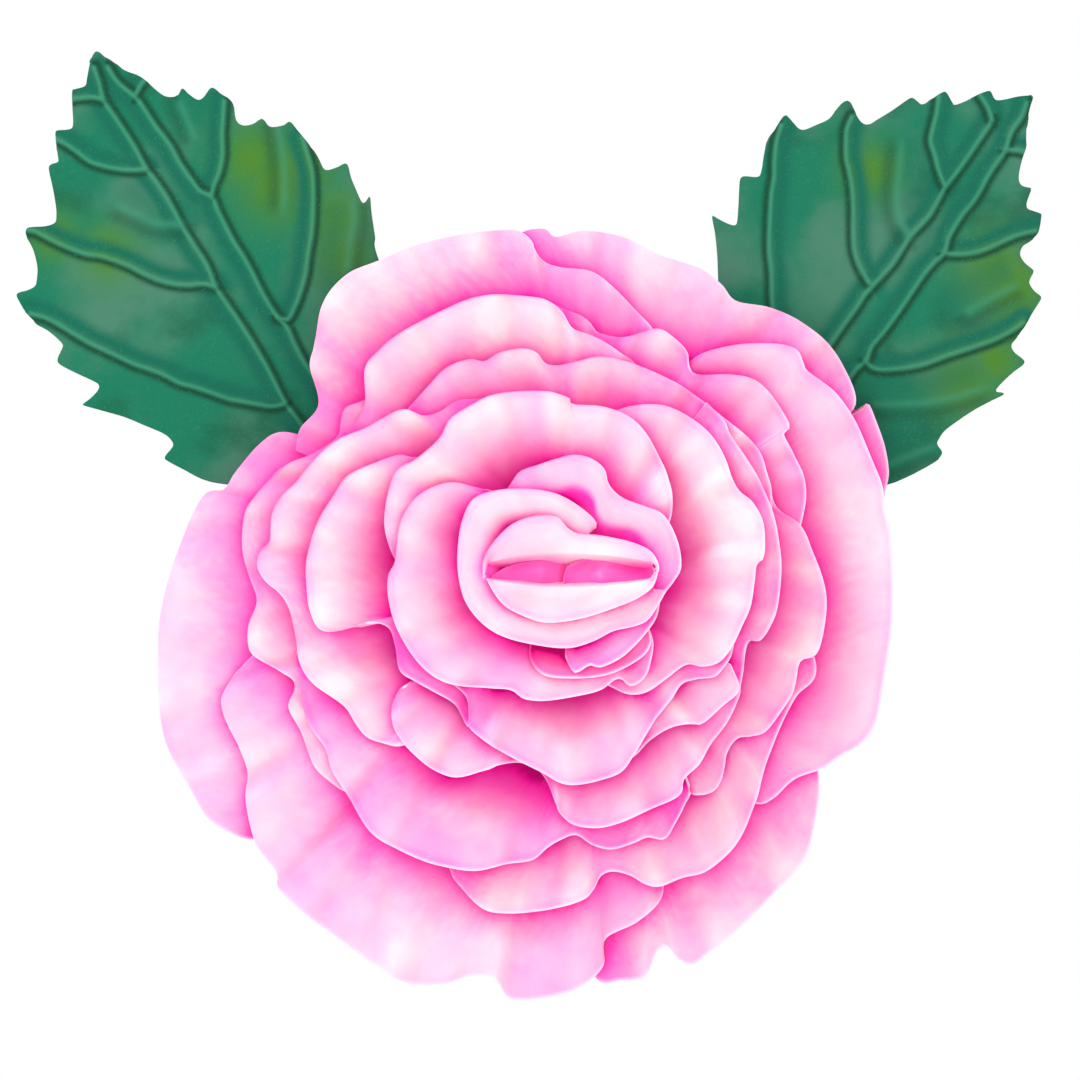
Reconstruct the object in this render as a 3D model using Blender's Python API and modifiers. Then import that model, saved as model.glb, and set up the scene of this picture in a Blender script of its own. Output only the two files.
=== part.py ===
"""Hair flower: a large layered foam rose with two moulded leaves on a sprung hair clip.

The flower stands upright and faces -Y. The origin is on the rose's bud axis, in the plane of the
felt's back face. Every petal is a thin sheet lofted from its rim to its glued root. The petals are
laid from the back to the front, and each one is lifted just enough to rest on those behind it.
"""
import math
from dataclasses import dataclass

import bmesh
import bpy
import numpy as np
from mathutils import Vector

MM = 0.001

# Foam sheet and the stack behind the petals, all in millimetres. "Front" is the distance from the
# felt's back face towards the viewer, so a point's Y is minus its front.
FOAM = 0.7
LAY_GAP = 2.5
PETAL_PLANE = 7.4
FELT_RADIUS, FELT_THICK = 31.0, 1.2
# A seam across the felt's faces, below the clip, so that the face at the origin stays uncovered.
FELT_SEAM, FELT_TURN = 2.0, math.radians(4)
BASE_RADIUS, BASE_BACK, BASE_THICK = 42.0, 4.2, 2.4
CORE_RADIUS, CORE_TOP = 6.5, 33.0
LEAF_BACK, LEAF_THICK, LEAF_TILT = 1.7, 1.4, math.radians(1.2)

# Duckbill clip. It lies along X behind the felt, above the bud axis so that the flower hangs true.
CLIP_Z, CLIP_WIDTH, CLIP_SHEET = 9.0, 9.0, 0.8
CLIP_NOSE, CLIP_HEEL = -34.0, 22.0
CLIP_BACK = 0.4
PIN_X, PIN_BACK, PIN_RADIUS, PIN_GAP = 9.0, 4.7, 0.9, 0.3
EAR_HALF, EAR_RADIUS = 3.4, 1.8
SPRING_WIRE, SPRING_RADIUS, SPRING_TURNS = 0.4, 2.0, 3.5

# The field that the petals are laid on: cells of one millimetre round the rose.
FIELD_LOW, FIELD_HIGH, CELL = -112.0, 92.0, 1.0

# Rows of a petal from its rim (0) to its root (1), and the finer grid that it is laid with.
ROWS = (0.0, 0.14, 0.34, 0.54, 0.76, 1.0)
FINE_PER_SPAN = 6
# The glue shelf inside a petal's root, which the next petals also clear.
ROOT_SHELF = 0.72
FINE_ROWS = 24

BLUSH = (1.0, 0.56, 0.80)
PINK = (1.0, 0.42, 0.70)
DEEP_PINK = (0.95, 0.24, 0.58)


@dataclass(frozen=True)
class Petal:
    """One foam petal: its rim as (x, z) points about the bud axis, and how it rises to that rim."""

    name: str
    rim: tuple
    front: tuple
    flat: float = 2.0
    fall: float = 0.024
    reach: float = 0.6
    aim: tuple = (0.0, 0.0)
    colour: tuple = PINK


# Back to front. The first and last rim points of a petal are tucked under its neighbours.
OUTER_PETALS = (
    Petal("outer_petal_far_right", (
        (66, 41), (70, 39.6), (72, 41.5), (74, 37), (76, 31), (77, 25), (76.5, 21.5), (75.5, 17),
        (74, 10)), (11, 14, 11), colour=BLUSH),
    Petal("outer_petal_left", (
        (-60.5, 32.5), (-69.5, 34.5), (-75, 31.5), (-80.5, 25), (-83.5, 20.5), (-88, 19.5),
        (-92.5, 11), (-96.5, -0.5), (-99, -13), (-99, -30), (-97, -41.5), (-91, -52.5),
        (-87, -59), (-81.5, -62.5), (-76, -64), (-66, -62)), (12, 17, 12), colour=BLUSH),
    Petal("outer_petal_top_right", (
        (-18, 77), (-12, 82.5), (-6, 83.5), (-3.5, 81.5), (3.5, 83), (13, 81.5), (20.5, 77.5),
        (31, 74), (36.5, 70), (40, 66), (48, 64.5), (55, 61.5), (62.5, 55.5), (67, 48.5),
        (69, 42.5), (67.5, 39), (62, 36)), (12, 16, 13)),
    Petal("outer_petal_bottom_right", (
        (58, -38), (60, -48), (59.5, -57.5), (56.5, -68.5), (49, -77), (41, -85), (33, -91.5),
        (29.5, -94), (26, -92.5), (23.5, -89.5), (21, -91), (18, -97), (12, -98), (7, -98),
        (2, -90)), (14, 17, 12), colour=BLUSH),
    Petal("outer_petal_top_left", (
        (-66, 30), (-65, 35), (-60.5, 41), (-62.5, 50), (-61.5, 55), (-59.5, 65), (-54, 72),
        (-46, 75.5), (-36, 79.5), (-24, 82), (-12, 82.5), (-7, 76), (-2.5, 74), (5, 73),
        (10, 69.5), (15.5, 64), (19.5, 59.5), (24, 52)), (17, 21, 19)),
    Petal("outer_petal_bottom_left", (
        (-68, -14), (-76, -19), (-83, -27.5), (-83.5, -33), (-79.5, -41.5), (-77.5, -47.5),
        (-78, -54), (-75.5, -64.5), (-70.5, -71.5), (-70, -75.5), (-63.5, -81.5), (-55.5, -87.5),
        (-48, -93), (-39.5, -98), (-31, -98.5), (-24, -96.5), (-18, -97), (-14, -102),
        (-5, -101.5), (2.5, -99), (8, -94), (8.5, -87.5), (16, -83.5), (21.5, -78.5),
        (22.5, -74), (22, -66)), (18, 20, 19)),
)
SECOND_PETALS = (
    Petal("second_petal_right_wrap", (
        (23.5, 45.5), (29, 51.5), (34, 54), (42, 55.5), (50, 55.5), (54.5, 54), (56, 51),
        (57, 49), (63.5, 44), (68.5, 37), (72, 29), (75, 21.5), (75.5, 16), (77, 9.5),
        (77.5, 2.5), (77.5, -11), (75.5, -25), (73.5, -35.5), (70, -40.5), (65, -43.5),
        (60.5, -46.5), (54, -49), (49, -53.5), (45, -55), (39, -52)), (23, 20, 21), colour=BLUSH),
    Petal("second_petal_bottom", (
        (-36, -67), (-29.5, -69.5), (-27, -74), (-19.5, -80.5), (-7, -80.5), (2.5, -78),
        (5.5, -75.5), (7.5, -72), (10.5, -71), (14.5, -72), (18, -74), (21.5, -74.5),
        (27, -72.5), (32.5, -71), (38.5, -66), (42, -60.5), (44.5, -54), (46.5, -46.5),
        (49.5, -38.5), (52, -33), (54.5, -28.5), (58, -25.5), (59, -22.5), (58, -18.5),
        (55, -15)), (23, 25, 25)),
    Petal("second_petal_left", (
        (-47, 43), (-50.5, 41.5), (-54, 40), (-55, 37), (-56, 33), (-62, 29), (-67, 27),
        (-71, 24), (-75.5, 19), (-78, 14.5), (-78.5, 7), (-77, 0), (-75, -6), (-77, -12),
        (-77, -17), (-75.5, -19.5), (-70.5, -22.5), (-66.5, -25), (-66, -27.5), (-67.5, -31.5),
        (-64.5, -37.5), (-61.5, -45.5), (-57.5, -49.5), (-53.5, -52), (-47, -53)), (22, 25, 23)),
    Petal("second_petal_top", (
        (-15.5, 64), (-7, 66), (-2, 64), (3.5, 61.5), (5.5, 59.5), (7, 58), (13, 57), (20.5, 59),
        (24.5, 57), (28, 53.5), (28.5, 50), (30.5, 48), (38.5, 48), (44.5, 46.5), (49, 42),
        (52.5, 36), (51, 34), (53.5, 29), (56, 23.5), (56.5, 18), (55, 11)), (23, 27, 25)),
    Petal("second_petal_right", (
        (43.5, 25), (47.5, 20.5), (49.5, 16), (55, 12), (58, 5.5), (61, -3.5), (61, -10.5),
        (59, -18.5), (55, -20.5), (54, -25), (52.5, -29.5), (47, -37), (43, -38.5), (40, -39),
        (37.5, -42.5), (36.5, -48), (34.5, -51.5), (31, -52.5), (28.5, -52), (25, -48)),
        (28, 29, 27)),
    Petal("second_petal_bottom_left", (
        (-64, -12), (-65.5, -20), (-64.5, -25), (-64, -31), (-62, -36.5), (-58.5, -41.5),
        (-57, -46.5), (-53.5, -52), (-48, -61), (-41, -65.5), (-32.5, -69), (-23, -70.5),
        (-15.5, -69), (-9, -68), (-5.5, -65), (-2, -63), (1.5, -62), (5.5, -64.5), (10, -65.5),
        (15, -64), (18.5, -62.5), (22.5, -63), (25, -59.5), (27.5, -54.5), (28.5, -51.5),
        (26, -45)), (25, 30, 29)),
    Petal("second_petal_top_left", (
        (-54, 34.5), (-51, 37), (-49, 41.5), (-49, 49.5), (-45.5, 54), (-42, 57), (-36, 60.5),
        (-30, 63.5), (-24, 66), (-17.5, 67), (-9.5, 66.5), (-5.5, 65.5), (-2, 63), (0.5, 59),
        (4.5, 57.5), (8.5, 55.5), (12, 53), (15.5, 50.5), (19, 45)), (27, 30, 30)),
)
THIRD_PETALS = (
    Petal("third_petal_top", (
        (-42, 36), (-38.5, 40), (-33.5, 45.5), (-29.5, 49.5), (-24, 51.5), (-20.5, 51),
        (-17, 53), (-11.5, 54), (-8, 53), (-6, 50.5), (-3, 50), (2, 51), (7.5, 52), (16, 50),
        (26.5, 45), (36, 38), (44.5, 30.5), (47, 24), (48, 20), (48, 14)), (31, 35, 32)),
    Petal("third_petal_left", (
        (-15.5, 42), (-21.5, 42), (-27, 41.5), (-31, 39), (-35, 38), (-39.5, 39.5),
        (-44.5, 37.5), (-49, 35), (-55, 32.5), (-59.5, 29), (-63.5, 24.5), (-65.5, 22),
        (-69, 18.5), (-71, 14.5), (-71.5, 8), (-74, 5.5), (-74.5, 2), (-72.5, -1.5),
        (-69.5, -4), (-67, -7.5), (-65.5, -14), (-64.5, -20.5), (-61.5, -25.5), (-54, -31),
        (-51, -35.5), (-48.5, -38.5), (-44.5, -40), (-40, -40.5), (-35, -39)), (36, 34, 33)),
    Petal("third_petal_bottom", (
        (-33.5, -21.5), (-37.5, -25.5), (-41, -28), (-42.5, -31.5), (-42, -36), (-39.5, -40),
        (-36, -43.5), (-32, -46.5), (-27, -48), (-21, -46.5), (-17, -45), (-12, -44.5),
        (-8, -46), (-5.5, -49), (-3.5, -54), (-1.5, -57.5), (1.5, -59.5), (7, -60), (12.5, -58.5),
        (18, -56), (24, -53.5), (26.5, -51.5), (27, -48.5), (30.5, -45), (33.5, -40),
        (37, -35.5), (39.5, -30.5), (40.5, -26), (39, -20)), (36, 37, 35)),
    Petal("third_petal_right", (
        (32.5, 41), (36.5, 37), (38, 33.5), (42, 27.5), (45.5, 21.5), (48.5, 13.5), (50, 3.5),
        (49.5, -6), (47.5, -12), (45, -15.5), (42.5, -15.5), (41.5, -18.5), (41, -23),
        (40, -26.5), (36.5, -27)), (36, 38, 37)),
)
FOURTH_PETALS = (
    Petal("fourth_petal_left", (
        (-30, 29.5), (-36, 28), (-41, 28.5), (-47, 26.5), (-53, 23.5), (-56.5, 18.5),
        (-60, 12.5), (-62.5, 4), (-62.5, -3.5), (-61.5, -9), (-59, -13), (-54, -13),
        (-50.5, -11.5), (-47, -11), (-43, -12.5), (-41.5, -17), (-40.5, -22.5), (-37, -25),
        (-32.5, -27.5), (-27.5, -30.5), (-25.5, -34), (-24, -36), (-19, -36)), (39, 40, 39)),
    Petal("fourth_petal_lower_right", (
        (9.5, -45), (15, -43), (19, -39), (24, -36), (29, -35), (31.5, -35), (36, -31),
        (40, -27), (38, -21)), (39, 40, 40)),
    Petal("fourth_petal_bottom", (
        (-31, -23.5), (-27.5, -26), (-24.5, -29), (-24, -33), (-24, -36), (-19, -40),
        (-13, -43.5), (-7, -46.5), (-2.5, -49), (1.5, -49.5), (7, -48.5), (12, -46.5),
        (15, -42.5), (18, -37.5), (20.5, -33.5), (24, -29), (26.5, -25.5), (30, -24.5),
        (34, -24), (36, -22), (38, -19), (39, -14)), (42, 42, 42)),
    Petal("fourth_petal_right", (
        (7, 37), (12, 39.5), (17.5, 40.5), (23, 40), (29, 37), (33.5, 33), (36.5, 28), (38, 23.5),
        (40, 20), (43, 17.5), (45.5, 13), (46, 8), (45.5, 4), (44, 2.5), (43.5, -2), (42.5, -7.5),
        (40.5, -12), (38, -17), (35, -20.5), (31, -21.5), (27.5, -21), (23, -24), (18, -27.5),
        (13.5, -28), (9, -26)), (42, 43, 44)),
    Petal("fourth_petal_top", (
        (-38, -1), (-41, 3), (-43, 7.5), (-44, 13), (-43, 20), (-41, 25), (-36.5, 27.5),
        (-31, 32.5), (-28.5, 37), (-24, 40), (-19, 42.5), (-13, 43.5), (-6, 43.5), (-0.5, 42),
        (0.5, 40.5), (7, 40), (13, 38), (17.5, 34), (21.5, 27), (23, 23), (24, 18.5),
        (23.5, 13), (20.5, 8.5)), (44, 46, 47)),
)
INNER_PETALS = (
    Petal("inner_petal_wrap", (
        (-14.5, 18), (-19, 20), (-23, 21), (-27.5, 22), (-32.5, 21), (-37, 18), (-40, 13),
        (-41, 7), (-41.5, 3), (-43, 0), (-43, -5), (-41.5, -11), (-38.5, -17), (-35, -21.5),
        (-31, -24.5), (-26, -26), (-19, -26.5), (-14, -27), (-11, -29), (-6, -29.5), (1, -28.5),
        (7, -27), (10.5, -24.5), (12.5, -24.5), (14.5, -26), (17.5, -24), (19, -20),
        (19.5, -15.5), (18, -11)), (47, 48, 47), fall=0.032, reach=0.56),
    Petal("inner_petal_low_back", (
        (-9, -14), (-9.5, -19), (-7.5, -22.5), (-3.5, -24), (5, -24), (11, -22.5), (17, -19),
        (19, -15.5), (18, -11)), (43, 44, 44), fall=0.05, reach=0.5, colour=DEEP_PINK),
    Petal("inner_petal_low_front", (
        (-1, -19), (0.5, -22.5), (2, -22.5), (4.5, -21), (7, -21.5), (11.5, -19.5), (15.5, -16),
        (18.5, -12.5), (20.5, -9), (21.5, -3)), (47, 48, 48), fall=0.06, reach=0.5),
)
BUD_PETALS = (
    Petal("bud_heart_left", (
        (-17.5, -1), (-13, 0.5), (-8.5, 2.5), (-2.5, 3.5), (-0.5, 1.5), (0, -1)), (44, 45, 44),
        fall=0.05, reach=0.8, aim=(1.0, -5.5), colour=DEEP_PINK),
    Petal("bud_heart_right", (
        (6.5, 0), (6.5, 4), (11, 4), (15, 2), (17, 0)), (43, 43, 43), fall=0.05,
        reach=0.8, aim=(1.0, -5.5), colour=DEEP_PINK),
    Petal("bud_petal_upper_right", (
        (-17, 18), (-14.5, 21), (-12, 24.5), (-8, 26), (-3.5, 27.5), (1, 28.5), (5, 27.5),
        (8, 25), (9, 21.5), (12, 18.5), (17, 16.5), (21, 15), (23.5, 12), (25.5, 7), (26, 2),
        (24.5, -1), (22.5, -3.5), (20, -6)), (50, 51, 51), flat=6.0, fall=0.12, reach=0.45),
    Petal("bud_wrap", (
        (6, 11.5), (2.5, 15.5), (-1.5, 18.5), (-6, 20), (-12, 20.5), (-18, 20), (-23, 18),
        (-25.5, 13), (-26.5, 7), (-26.5, 1), (-25, -5.5), (-21.5, -10.5), (-16.5, -14),
        (-9.5, -16), (-1, -17), (5, -15.5), (10, -13), (14.5, -12), (18, -10.5), (20.5, -7),
        (22.5, -3.5)), (53, 54, 54), flat=5.0, fall=0.2, reach=0.42, colour=BLUSH),
    Petal("bud_lip_lower", (
        (-19.5, -1), (-18, -4), (-15.5, -7), (-12, -9), (-7, -10.5), (-3, -10.5), (2.5, -9.5),
        (9, -7.5), (15.5, -5), (19, -3), (20, -0.5)), (54, 55, 54), flat=5.0, fall=0.6,
        reach=1.0, aim=(0.85, -0.5), colour=BLUSH),
    Petal("bud_lip_upper", (
        (-20.5, -0.5), (-20.5, 3.5), (-18.5, 7.5), (-14, 12), (-9, 14), (-3.5, 14), (-1, 11.5),
        (1.5, 10), (7, 9.5), (14, 8), (18.5, 6), (20.5, 3), (20, 0), (18, -2.5), (15, -4)),
        (55, 56, 56), flat=5.0, fall=0.3, reach=0.9, aim=(0.85, 1.5), colour=BLUSH),
)
PETALS = (OUTER_PETALS + SECOND_PETALS + THIRD_PETALS + FOURTH_PETALS + INNER_PETALS
          + BUD_PETALS)

# Leaf outlines as (x, z) points from the root up one side, round the tip and down the other.
LEAF_LEFT = (
    (-38, 2), (-50, 25), (-82.5, 22), (-98.5, 28), (-94.5, 34), (-118, 41), (-124.5, 52),
    (-134.5, 68), (-130.5, 75), (-132, 84), (-121, 95), (-124, 107), (-116.5, 112), (-120.5, 117.5),
    (-115, 127), (-103.5, 120), (-97, 116), (-94, 118), (-90, 115), (-86.5, 118), (-80, 109),
    (-74.5, 110.5), (-67.5, 109.5), (-59.5, 98), (-54, 99.5), (-50, 90.5), (-48.5, 91.5),
    (-46, 76), (-30, 40), (-24, 12))
LEAF_RIGHT = (
    (18, 10), (22, 38), (36.5, 70), (35, 87), (42, 87), (42, 98), (46.5, 100), (52.5, 111),
    (59, 107), (67.5, 114.5), (74, 107), (83.5, 115.5), (91, 117), (96, 115), (102, 117), (112, 116),
    (110.5, 103), (108.5, 97), (112, 93.5), (114.5, 87.5), (109, 79), (114, 67.5), (107.5, 55.5),
    (110.5, 51.5), (103.5, 44.5), (105.5, 44), (90, 33), (90.5, 30.5), (77, 22), (50, 16), (34, -2))


def clear_scene():
    """Remove every object, so that the model starts from an empty scene."""
    for thing in list(bpy.data.objects):
        bpy.data.objects.remove(thing)


def make_collection(name):
    """Make a collection under the scene's root and return it."""
    group = bpy.data.collections.new(name)
    bpy.context.scene.collection.children.link(group)
    return group


def make_material(name, colour, roughness, metallic=0.0):
    """Make a Principled material with one colour, roughness and metallic value."""
    material = bpy.data.materials.new(name)
    material.use_nodes = True
    shader = material.node_tree.nodes["Principled BSDF"]
    shader.inputs["Base Color"].default_value = (*colour, 1.0)
    shader.inputs["Roughness"].default_value = roughness
    shader.inputs["Metallic"].default_value = metallic
    material.diffuse_color = (*colour, 1.0)
    return material


def to_world(x, front, z):
    """Turn millimetres across, towards the viewer and up into world metres."""
    return (x * MM, -front * MM, z * MM)


class LayingField:
    """The front of everything laid so far, as a height for each square millimetre."""

    def __init__(self):
        """Start with the flat plane that the first petals lie on."""
        count = int((FIELD_HIGH - FIELD_LOW) / CELL)
        self.front = np.full((count, count), PETAL_PLANE)
        self.clear = self.front.copy()

    def cells(self, x, z):
        """Return the cell of each (x, z) place."""
        last = len(self.front) - 1
        across = np.clip(((x - FIELD_LOW) / CELL).astype(int), 0, last)
        up = np.clip(((z - FIELD_LOW) / CELL).astype(int), 0, last)
        return across, up

    def add(self, x, front, z):
        """Add a petal, and keep the surface one laying gap in front of everything."""
        np.maximum.at(self.front, self.cells(x, z), front)
        steps = int(LAY_GAP / CELL)
        self.clear = self.front.copy()
        for across in range(-steps, steps + 1):
            for up in range(-steps, steps + 1):
                away = math.hypot(across, up) * CELL
                if away < LAY_GAP:
                    lift = math.sqrt(LAY_GAP ** 2 - away ** 2)
                    shifted = np.roll(self.front, (across, up), axis=(0, 1)) + lift
                    self.clear = np.maximum(self.clear, shifted)


def petal_sheet(petal, field):
    """Work out one petal's fine grid, laid on the field: its x, front and z arrays."""
    rim = np.array(petal.rim, dtype=float)
    spans = len(rim) - 1
    along = np.linspace(0.0, spans, spans * FINE_PER_SPAN + 1)
    rim_x = np.interp(along, range(spans + 1), rim[:, 0])[:, None]
    rim_z = np.interp(along, range(spans + 1), rim[:, 1])[:, None]
    row = np.linspace(0.0, 1.0, FINE_ROWS + 1)[None, :] * petal.reach
    aim_x = rim_x * petal.aim[0]
    x = rim_x + row * (aim_x - rim_x)
    z = rim_z + row * (petal.aim[1] - rim_z)
    inward = np.hypot(x - rim_x, z - rim_z)
    crest = np.interp(along / spans, (0.0, 0.5, 1.0), petal.front)[:, None]
    wanted = crest - petal.fall * np.maximum(inward - petal.flat, 0.0) ** 2
    need = field.clear[field.cells(x, z)] - wanted
    lift = np.maximum(need, 0.0)
    for _ in range(40):
        padded = np.pad(lift, 1, mode="edge")
        lift = (padded[:-2, 1:-1] + padded[2:, 1:-1] + padded[1:-1, :-2] + padded[1:-1, 2:]) / 4
        lift = np.maximum(lift, np.maximum(need, 0.0))
    front = wanted + lift
    field.add(x, front, z)
    for share in np.linspace(ROOT_SHELF, 1.0, 10):
        field.add(x[:, -1] * share, front[:, -1], z[:, -1] * share)
    return x, front, z


def make_petal(petal, field, group):
    """Loft one petal from rim to root as an open sheet, and give it the foam's thickness."""
    x, front, z = petal_sheet(petal, field)
    columns = range(0, x.shape[0], FINE_PER_SPAN)
    rows = [round(share * FINE_ROWS) for share in ROWS]
    mesh = bmesh.new()
    grid = [[mesh.verts.new(to_world(x[c, r], front[c, r], z[c, r])) for r in rows]
            for c in columns]
    for left, right in zip(grid, grid[1:]):
        for row in range(len(rows) - 1):
            mesh.faces.new((left[row], right[row], right[row + 1], left[row + 1]))
    bmesh.ops.recalc_face_normals(mesh, faces=mesh.faces)
    data = bpy.data.meshes.new(petal.name)
    mesh.to_mesh(data)
    mesh.free()
    sheet = bpy.data.objects.new(petal.name, data)
    group.objects.link(sheet)
    data.materials.append(make_material(f"foam_{petal.name}", petal.colour, 0.5))
    data.shade_smooth()
    shell = sheet.modifiers.new("foam", "SOLIDIFY")
    shell.thickness = FOAM * MM
    shell.offset = 0.0
    shell.use_even_offset = False
    return sheet


def make_disc(name, radius, back, thick, material, group):
    """Make a flat round disc whose back face is at the given front distance."""
    middle = to_world(0.0, back + thick / 2, 0.0)
    bpy.ops.mesh.primitive_cylinder_add(
        vertices=40, radius=radius * MM, depth=thick * MM, location=middle,
        rotation=(math.radians(90), 0.0, 0.0))
    return adopt(bpy.context.object, name, material, group)


def adopt(thing, name, material, group):
    """Name an object, give it its material and move it into its collection."""
    thing.name = name
    thing.data.name = name
    thing.data.materials.clear()
    thing.data.materials.append(material)
    for old in list(thing.users_collection):
        old.objects.unlink(thing)
    group.objects.link(thing)
    return thing


def make_felt(group):
    """Cut the felt backing as a disc whose faces are split by a seam just below the clip."""
    felt = make_disc("felt_backing", FELT_RADIUS, 0.0, FELT_THICK,
                     make_material("felt", (0.05, 0.25, 0.12), 0.9), group)
    felt.rotation_euler = (math.radians(90), FELT_TURN, 0.0)
    bpy.context.view_layer.update()
    to_felt = felt.matrix_world.inverted()
    mesh = bmesh.new()
    mesh.from_mesh(felt.data)
    everything = mesh.verts[:] + mesh.edges[:] + mesh.faces[:]
    bmesh.ops.bisect_plane(mesh, geom=everything, plane_co=to_felt @ Vector((0.0, 0.0, FELT_SEAM * MM)),
                           plane_no=to_felt.to_3x3() @ Vector((0.0, 0.0, 1.0)))
    mesh.to_mesh(felt.data)
    mesh.free()
    return felt


def make_core(group):
    """Make the rolled foam core that the inner petals are wrapped round."""
    back = BASE_BACK + BASE_THICK + 0.4
    bpy.ops.mesh.primitive_cone_add(
        vertices=20, radius1=(CORE_RADIUS + 3.0) * MM, radius2=CORE_RADIUS * MM,
        depth=(CORE_TOP - back) * MM, location=to_world(0.0, (CORE_TOP + back) / 2, 0.0),
        rotation=(math.radians(90), 0.0, 0.0))
    return adopt(bpy.context.object, "bud_core", make_material("core_foam", DEEP_PINK, 0.6), group)


def make_leaf(name, outline, group):
    """Cut one leaf from sheet as a flat outline, tilted a little so that its tip comes forward."""
    curve = bpy.data.curves.new(name, "CURVE")
    curve.dimensions = "2D"
    curve.fill_mode = "BOTH"
    curve.extrude = LEAF_THICK / 2 * MM
    edge = curve.splines.new("POLY")
    edge.points.add(len(outline) - 1)
    for point, (x, z) in zip(edge.points, outline):
        point.co = (x * MM, z * MM, 0.0, 1.0)
    edge.use_cyclic_u = True
    leaf = bpy.data.objects.new(name, curve)
    leaf.location = to_world(0.0, LEAF_BACK + LEAF_THICK / 2, 0.0)
    leaf.rotation_euler = (math.radians(90) + LEAF_TILT, 0.0, 0.0)
    curve.materials.append(make_material(f"{name}_foam", (0.02, 0.2, 0.11), 0.5))
    group.objects.link(leaf)
    return leaf


def make_box(name, low, high, group):
    """Make a box between two (x, y, z) corners given in millimetres."""
    mesh = bmesh.new()
    bmesh.ops.create_cube(mesh, size=1.0)
    for vertex in mesh.verts:
        vertex.co = [(a + b) / 2 * MM + share * (b - a) * MM
                     for a, b, share in zip(low, high, vertex.co)]
    data = bpy.data.meshes.new(name)
    mesh.to_mesh(data)
    mesh.free()
    box = bpy.data.objects.new(name, data)
    group.objects.link(box)
    return box


def make_rod(name, radius, z_low, z_high, group, sides=20):
    """Make an upright rod on the hinge axis."""
    mesh = bmesh.new()
    bmesh.ops.create_cone(mesh, cap_ends=True, segments=sides, radius1=radius * MM,
                          radius2=radius * MM, depth=(z_high - z_low) * MM)
    data = bpy.data.meshes.new(name)
    mesh.to_mesh(data)
    mesh.free()
    rod = bpy.data.objects.new(name, data)
    rod.location = (PIN_X * MM, PIN_BACK * MM, (z_low + z_high) / 2 * MM)
    group.objects.link(rod)
    return rod


def hide_tool(tool):
    """Mark an object as a cutter or a joined piece, which is not part of the model."""
    tool.hide_render = True
    tool.display_type = "WIRE"
    return tool


def combine(target, other, operation):
    """Join or cut a solid with another by an exact Boolean."""
    modifier = target.modifiers.new(operation.lower(), "BOOLEAN")
    modifier.operation = operation
    modifier.solver = "EXACT"
    modifier.object = hide_tool(other)


def add_ears(jaw, half_gap, reach_to, group_tools):
    """Join a pair of pierced ears to a jaw, and cut the pin's holes through them."""
    for side in (-1, 1):
        inner = CLIP_Z + side * half_gap
        outer = inner + side * CLIP_SHEET
        low, high = sorted((inner, outer))
        y_low, y_high = sorted((PIN_BACK, reach_to))
        ear = make_box(f"{jaw.name}_ear_{side}", (PIN_X - EAR_RADIUS, y_low, low),
                       (PIN_X + EAR_RADIUS, y_high, high), group_tools)
        combine(jaw, ear, "UNION")
        eye = make_rod(f"{jaw.name}_eye_{side}", EAR_RADIUS, low, high, group_tools)
        combine(jaw, eye, "UNION")
    hole = make_rod(f"{jaw.name}_hole", PIN_RADIUS + PIN_GAP, CLIP_Z - CLIP_WIDTH,
                    CLIP_Z + CLIP_WIDTH, group_tools)
    combine(jaw, hole, "DIFFERENCE")


def make_fixed_jaw(group, tools):
    """Make the jaw that is glued to the felt: a flat plate with two outer ears."""
    half = CLIP_WIDTH / 2
    jaw = make_box("clip_fixed_jaw", (CLIP_NOSE, CLIP_BACK, CLIP_Z - half),
                   (CLIP_HEEL, CLIP_BACK + CLIP_SHEET, CLIP_Z + half), group)
    add_ears(jaw, EAR_HALF, CLIP_BACK + CLIP_SHEET / 2, tools)
    return adopt(jaw, jaw.name, make_material("clip_steel", (0.6, 0.6, 0.62), 0.3, 1.0), group)


def make_moving_jaw(group, tools):
    """Make the jaw that opens: a bent strip over the pin, with two inner ears and a thumb tail."""
    spine = ((CLIP_NOSE, 1.9), (CLIP_NOSE + 14, 4.6), (-8.0, 6.9), (PIN_X, 8.6), (16.0, 10.6),
             (26.0, 13.4))
    half = CLIP_WIDTH / 2
    mesh = bmesh.new()
    lower = [mesh.verts.new((x * MM, y * MM, (CLIP_Z - half) * MM)) for x, y in spine]
    upper = [mesh.verts.new((x * MM, y * MM, (CLIP_Z + half) * MM)) for x, y in spine]
    for step in range(len(spine) - 1):
        mesh.faces.new((lower[step], lower[step + 1], upper[step + 1], upper[step]))
    bmesh.ops.recalc_face_normals(mesh, faces=mesh.faces)
    data = bpy.data.meshes.new("clip_moving_jaw")
    mesh.to_mesh(data)
    mesh.free()
    jaw = bpy.data.objects.new("clip_moving_jaw", data)
    group.objects.link(jaw)
    shell = jaw.modifiers.new("steel", "SOLIDIFY")
    shell.thickness = CLIP_SHEET * MM
    shell.offset = 0.0
    add_ears(jaw, EAR_HALF - CLIP_SHEET - 0.4, 8.6, tools)
    return adopt(jaw, jaw.name, make_material("jaw_steel", (0.62, 0.62, 0.64), 0.3, 1.0), group)


def make_pin(group):
    """Make the hinge pin, a little longer than the outer ears are apart."""
    half = EAR_HALF + CLIP_SHEET + 0.5
    pin = make_rod("clip_pin", PIN_RADIUS, CLIP_Z - half, CLIP_Z + half, group)
    return adopt(pin, pin.name, make_material("pin_steel", (0.5, 0.5, 0.52), 0.35, 1.0), group)


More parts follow.
